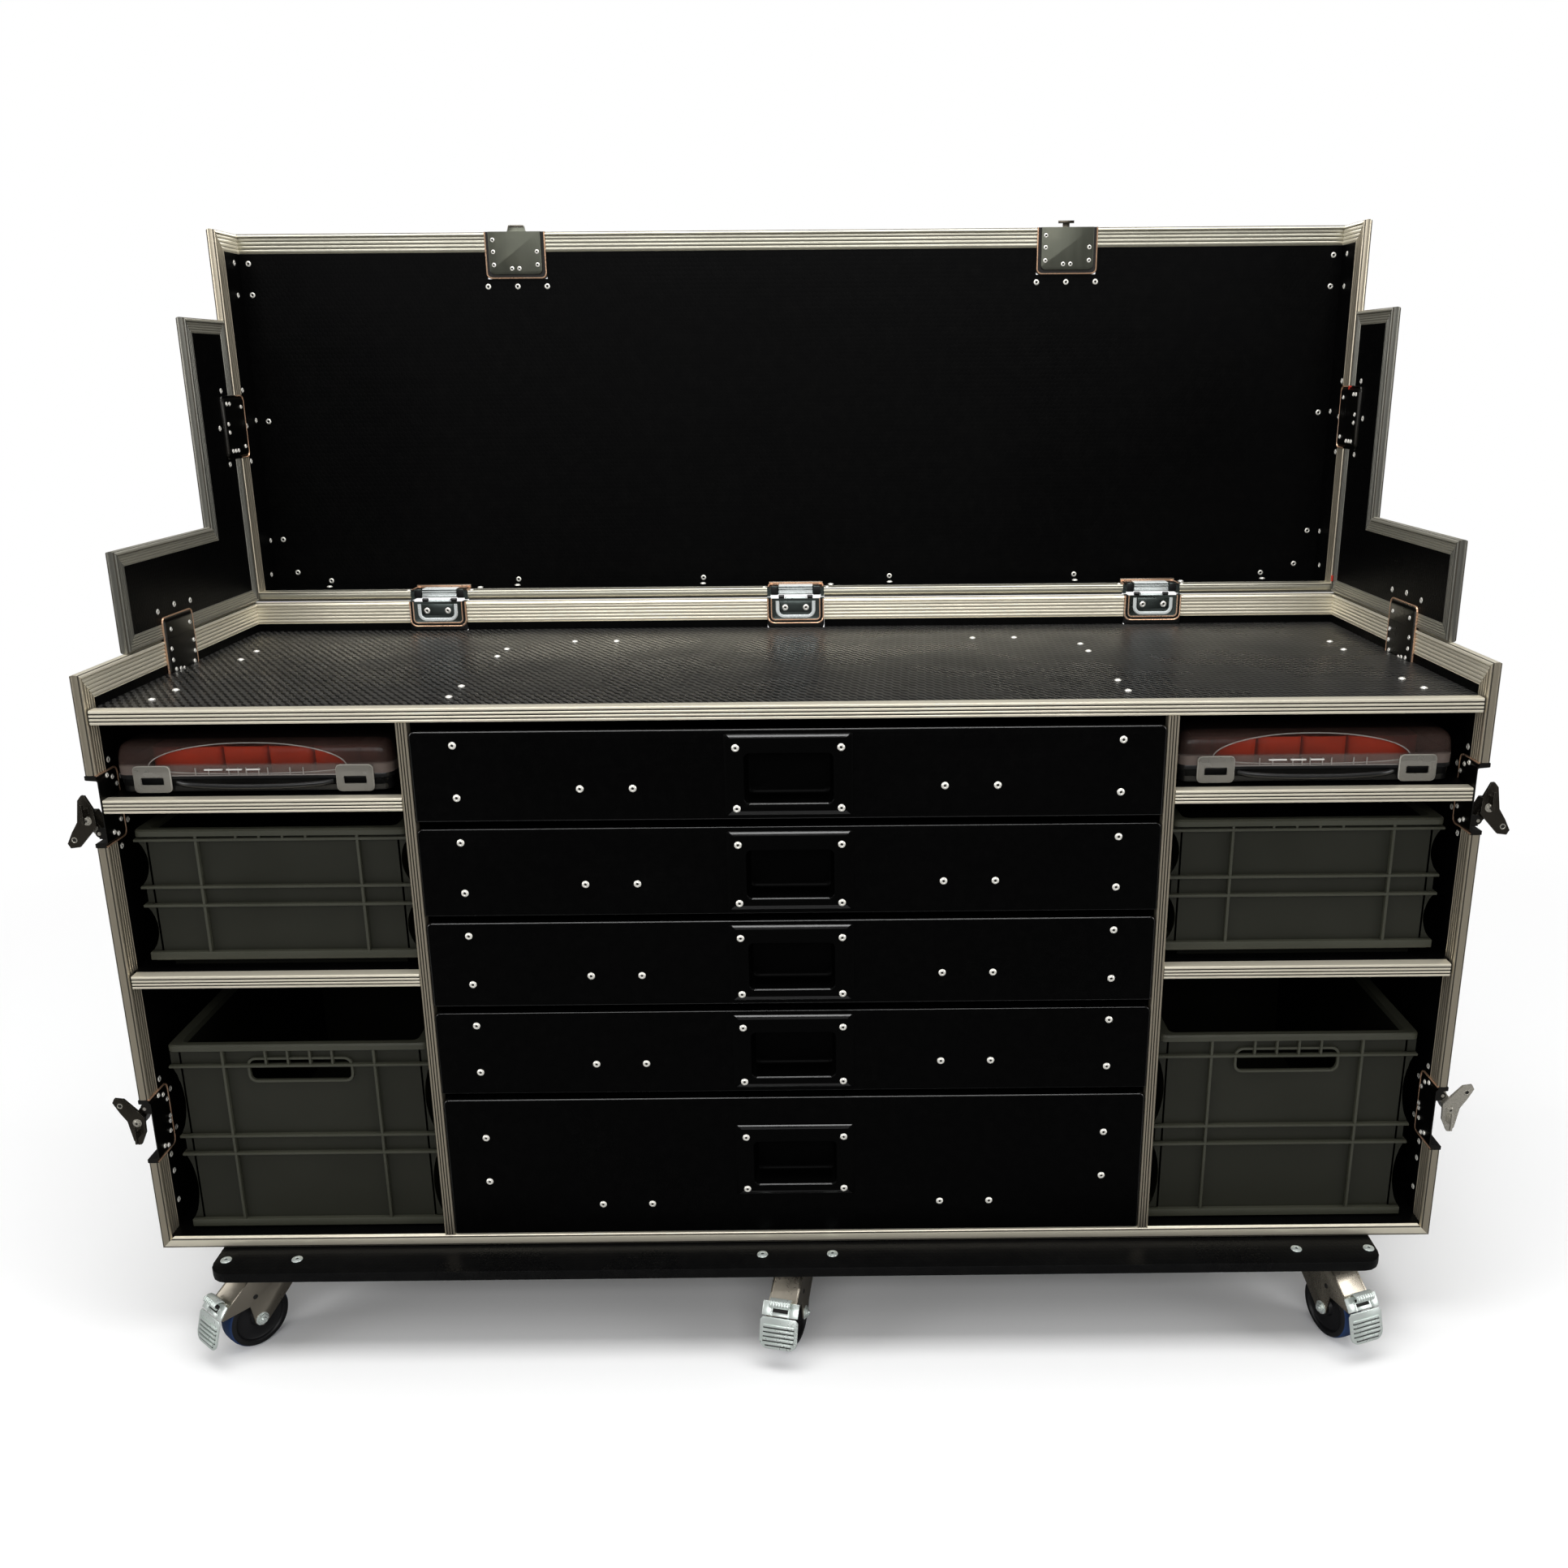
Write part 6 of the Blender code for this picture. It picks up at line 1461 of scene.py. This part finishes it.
def pedal(centre, way, across):
    """A pressed brake pedal: a ribbed toe plate hung on a bracket with a window and a rolled tab."""
    up = Vector(UP)

    def plane(start, end):
        """A placement on the plate between two (out, up) points: across, down the plate, out of it."""
        run = Vector((end[0] - start[0], end[1] - start[1]))
        length = run.length
        run.normalize()
        return oriented(centre + way * start[0] + up * start[1], across, way * run.x + up * run.y,
                        way * -run.y + up * run.x), length

    made = Shape()
    place, length = plane((0.0705, 0.036), (0.0835, -0.011))
    half = 0.03
    outline = [(-half + 0.004, 0.0), (half - 0.004, 0.0), (half, 0.0045), (half, length - 0.02)]
    outline += arc((half - 0.014, length - 0.014), 0.014, 0, 90, 5)
    outline += arc((-half + 0.014, length - 0.014), 0.014, 90, 180, 5)
    outline += [(-half, length - 0.02), (-half, 0.0045)]
    made.join(extrude(outline, "z", -0.0034, -0.0012).bevelled(0.0006), place)
    for number in range(5):
        spot = (0, length - 0.0085 - 0.0068 * number, 0)
        wide = 205 if number == 0 else 245
        made.bit(spot, (-wide, -20, -16), (wide, 20, 10), 10, 0, place)
        # A near-black strip in the crease below each rib: painted shade.
        made.bit(spot, (-wide, 22, -14), (wide, 42, -9), 0, 1, place)
    place, length = plane((0.0545, 0.054), (0.0675, 0.0372))
    for low, high in (((-0.0285, 0.0), (-0.0145, length)), ((0.0145, 0.0), (0.0285, length)),
                      ((-0.0149, 0.0), (0.0149, 0.005)), ((-0.0149, length - 0.0055), (0.0149, length))):
        made.block((*low, -0.0024), (*high, -0.0002), 0.0005, place=place)
    # A near-black plate in the bracket's window: painted shade.
    made.block((-0.0155, 0.004, -0.0034), (0.0155, length - 0.004, -0.0026), finish=1, place=place)
    made.join(extrude(PEDAL_TAB, "x", -0.0165, 0.0165).bevelled(0.0004), place)
    for number in range(7):
        made.bit(((number - 3) * 0.0044, 0, 0), (-9, -6, 112), (9, 78, 142), 4, 0, place)
    for side in SIDES.values():
        made.join(loft([[centre + way * a + up * z + across * level for a, z in PEDAL_WEDGE]
                        for level in beside(side, 0.0122, 0.014)], caps_first=True))
        spot = centre + way * 0.058 + up * 0.0452 + across * side * 0.014
        made.join(revolved(PEDAL_DOME, 18), facing(spot, across * side))
    return made


def fork_fittings(centre, way, across):
    """The nuts, axle ends and pins on both sides of a fork."""
    made = Shape()
    nut = extrude([(0.0085 * math.cos(angle), 0.0085 * math.sin(angle))
                   for angle in (math.radians(60 * i) for i in range(6))], "z", 0.0, 0.0044)
    cheek = WHEEL_HALF + 0.0015 + 0.003
    for side in SIDES.values():
        out = across * side
        made.join(nut.bevelled(0.0006), facing(centre + out * cheek, out))
        made.join(revolved(NUT_WASHER, 24), facing(centre + out * cheek, out))
        made.join(revolved(AXLE_END, 20), facing(centre + out * (cheek + 0.001), out))
        spot = centre + way * 0.006 + Vector((0, 0, 0.043)) + out * cheek
        made.join(revolved(FORK_PIN, 20, 1), facing(spot, out))
    return made


WORLD = (0, 0, 0)           # castor pieces are laid out in the world's own frame
for name in CASTORS:
    centre, way = fork_place(name)
    across = Vector(UP).cross(way)
    round_wheel = Shape()
    round_wheel.join(wheel(), facing(centre, across))
    piece(f"wheel_round_{name}", round_wheel, [HUB_BLACK, RUBBER_BLUE], f"wheel_{name}",
          f"castor_wheel_{name}", 40, WORLD)
    piece(f"fork_rounded_{name}", copied(f"castor_fork_{name}", 0.0008, 2, 32), [FORK_STEEL], f"fork_{name}",
          f"castor_fork_{name}", 32)
    piece(f"fork_fittings_{name}", fork_fittings(centre, way, across), [ZINC, HOLLOW_SHADE], f"fork_{name}",
          None, 32, WORLD)
    if name.startswith("front"):
        piece(f"pedal_pressed_{name}", pedal(centre, way, across), [ZINC, HOLLOW_SHADE], f"pedal_{name}",
              f"brake_pedal_{name}", 32, WORLD)

bolts = Shape()
for x in BOARD_BOLT_XS:
    # The socket in each bolt's head takes the near-black finish, painted shade.
    bolts.join(revolved(BOARD_BOLT, 28, [0, 0, 0, 0, 0, 0, 1]),
               Matrix.Translation((x, -0.03, cabinet_box("castor_board")[1].z)))
piece("castor_board_bolts", bolts, [ZINC, HOLLOW_SHADE], "case", smooth=40)

# ---------------------------------------------------------------- latches

def shade_latch(shape, finish, front):
    """Paints a latch's larger flat faces behind a plane dark, as painted shade and dark reflection; its small
    rounded edge faces keep the pale nickel.
    """
    for index, face in enumerate(shape.faces):
        corners = [Vector(shape.points[corner]) for corner in face]
        area = (corners[1] - corners[0]).cross(corners[2] - corners[1]).length
        if area > 0.00001 and sum(corner.y for corner in corners) / len(corners) > front:
            shape.finishes[index] = finish


def top_tab(latch, box):
    """A top latch's tongue, made the flared tab that stands above the lid's edge."""
    over = [index for index, point in enumerate(latch.points) if point[2] > LID_TOP + 0.0075]
    middle = sum(latch.points[index][0] for index in over) / len(over)
    near = min(latch.points[index][1] for index in over)
    far = max(latch.points[index][1] for index in over)
    for index in over:
        x, y, z = latch.points[index]
        latch.points[index] = Vector((middle + 0.78 * (x - middle), y, z))
    top = box[1].z - 0.0002
    half = [(0.0205, LID_TOP + 0.0004), (0.0185, LID_TOP + 0.001), (0.0165, LID_TOP + 0.0034),
            (0.0154, LID_TOP + 0.007), (0.0147, top - 0.0022)]
    half += arc((0.0125, top - 0.0022), 0.0022, 30, 90, 2)
    outline = [(middle + x, z) for x, z in half] + [(middle - x, z) for x, z in reversed(half)]
    latch.join(extrude(outline, "y", near - 0.0002, far + 0.0002, 2).bevelled(0.0005))
    latch.bit((middle, near, top), (-140, -14, -42), (140, 4, -4), 8, 1)


WASHER = tenths((0, -4), (68, -4), (68, 5), (60, 9), (0, 9))
BOLT_HEAD = tenths((50, 6), (50, 20), (40, 30), (20, 32), (17, 24), (0, 24))
EYE = tenths((44, -2), (42, 5), (32, 7), (28, 2), (0, 2))
HUB_X, EYE_X, HUB_Y = 1.009, 1.0315, 0.0036
for side_name, side in SIDES.items():
    # The hub's height over the blade's foot, and the plane behind which the blade's flat faces are painted
    # dark as painted shade
    for level, foot, front in (("upper", 0.0415, -1.0), ("lower", 0.0375, 0.009 if side > 0 else -1.0)):
        node = f"latch_{side_name}_{level}"
        latch = copied(node, 0.0007, 2, 32)
        low, high = cabinet_box(node)
        shade_latch(latch, 2, front)
        hub = facing(Vector((side * HUB_X, HUB_Y, low.z + foot)), FRONT)
        latch.join(revolved(WASHER, 28), hub)
        # The bolt's socket and the eye's hole take finish 1, near-black as painted shade.
        latch.join(revolved(BOLT_HEAD, 28, [0, 0, 0, 0, 1]), hub)
        tip = low.z + 0.0125 if level == "upper" else high.z - 0.0125
        latch.join(revolved(EYE, 24, [0, 0, 0, 1]), facing((side * EYE_X, HUB_Y, tip), FRONT))
        piece(f"{node}_rounded", latch, [LATCH_STEEL, HOLLOW_SHADE, LATCH_SHADE],
              f"latch_body_{side_name}_{level}", node, 32)
    node = f"latch_top_{side_name}"
    latch = copied(node, 0.0007, 2, 32)
    shade_latch(latch, 1, -1.0)
    if side_name == "left":
        top_tab(latch, cabinet_box(node))
    piece(f"{node}_rounded", latch, [LATCH_STEEL, LATCH_SHADE, TOP_STEEL], f"latch_body_top_{side_name}",
          node, 32)

# ---------------------------------------------------------------- floor, light and camera

WORLD_FILL = 0.26
WORLD_GLOSS = 0.07
FLOOR_GLOSS = 0.16
FLOOR_REACH = 14
WHITE = (1.0, 1.0, 1.0, 1.0)
# Name, place, aim, size and power
LAMPS = (("overhead", (0.0, -0.4, 4.4), (0.0, 0.1, 0.6), (5.0, 2.6), 190),
         ("front", (-0.3, -5.4, 3.4), (0.0, 0.0, 0.8), (5.2, 1.8), 120),
         ("left_side", (-4.6, -2.0, 2.2), (0.0, 0.0, 0.7), (2.0, 2.4), 60),
         ("right_side", (4.6, -2.0, 2.2), (0.0, 0.0, 0.7), (2.0, 2.4), 60),
         ("behind", (0.0, 5.2, 3.4), (0.0, 0.4, 0.9), (4.0, 1.6), 60))


def backdrop():
    """A white world to the camera, dimmer as light and in reflections."""
    world = bpy.data.worlds.new("studio")
    bpy.context.scene.world = world
    world.use_nodes = True
    nodes, links = world.node_tree.nodes, world.node_tree.links
    path = nodes.new("ShaderNodeLightPath")

    def glow(strength):
        node = nodes.new("ShaderNodeBackground")
        node.inputs["Color"].default_value = WHITE
        node.inputs["Strength"].default_value = strength
        return node.outputs[0]

    def choose(*sockets):
        node = nodes.new("ShaderNodeMixShader")
        for index, socket in enumerate(sockets):
            links.new(socket, node.inputs[index])
        return node.outputs[0]

    fill = choose(path.outputs["Is Glossy Ray"], glow(WORLD_FILL), glow(WORLD_GLOSS))
    links.new(choose(path.outputs["Is Camera Ray"], fill, glow(1.0)), nodes["World Output"].inputs["Surface"])


def pale_floor():
    """A floor that fades to white far from the case and is dim in reflections."""
    reach = FLOOR_REACH
    mesh = bpy.data.meshes.new("studio_floor")
    mesh.from_pydata([(-reach, -reach, 0), (reach, -reach, 0), (reach, reach, 0), (-reach, reach, 0)], [],
                     [[0, 1, 2, 3]])
    ground = bpy.data.objects.new("studio_floor", mesh)
    bpy.context.scene.collection.objects.link(ground)
    pale = Finish("floor_pale", (0.93, 0.93, 0.93), 0.75, specular=0.1)
    path = pale.node("LightPath", {})
    dim = pale.node("BsdfDiffuse", {"Color": (FLOOR_GLOSS, FLOOR_GLOSS, FLOOR_GLOSS, 1.0)})[0]
    white = pale.node("Emission", {"Color": WHITE})[0]
    length = pale.node("VectorMath", {0: pale.place["Object"]}, operation="LENGTH")["Value"]
    fade = pale.spread(length, 0.0, 1.0, 0.9, 3.0)
    glossy = pale.node("MixShader", {0: path["Is Glossy Ray"], 1: pale.shader.outputs[0], 2: dim})[0]
    seen = pale.node("MixShader", {0: pale.times(fade, path["Is Camera Ray"]), 1: glossy, 2: white})[0]
    pale.links.new(seen, pale.nodes["Material Output"].inputs["Surface"])
    mesh.materials.append(pale.made)


def softbox(name, place, aim, size, power):
    data = bpy.data.lights.new(name, "AREA")
    data.shape = "RECTANGLE"
    data.size, data.size_y = size
    data.energy = power
    lamp = bpy.data.objects.new(name, data)
    lamp.location = place
    lamp.rotation_euler = (Vector(aim) - Vector(place)).to_track_quat("-Z", "Y").to_euler()
    bpy.context.scene.collection.objects.link(lamp)


def photo_camera():
    """The camera at the photograph's place: turned by yaw, pitch and roll."""
    data = bpy.data.cameras.new("photo_camera")
    camera = bpy.data.objects.new("photo_camera", data)
    yaw, pitch, roll = 0.0034, 0.286, -0.0085
    ahead = Vector((math.sin(yaw) * math.cos(pitch), math.cos(yaw) * math.cos(pitch), -math.sin(pitch)))
    right = Vector((math.cos(yaw), -math.sin(yaw), 0.0))
    up = right.cross(ahead)
    level_right = right * math.cos(roll) + up * math.sin(roll)
    level_up = up * math.cos(roll) - right * math.sin(roll)
    turn = Matrix((level_right, level_up, -ahead)).transposed().to_4x4()
    camera.matrix_world = Matrix.Translation(ORIGIN + Vector((0.0544, -1.9097, 1.3176))) @ turn
    data.lens = 32.03
    data.sensor_width = 36.0
    data.shift_x = -0.0303
    data.shift_y = -0.0006
    data.clip_start = 0.05
    data.clip_end = 60.0
    bpy.context.scene.collection.objects.link(camera)
    bpy.context.scene.camera = camera


backdrop()
pale_floor()
for lamp in LAMPS:
    softbox(*lamp)
photo_camera()
bpy.context.scene.view_settings.view_transform = "Standard"
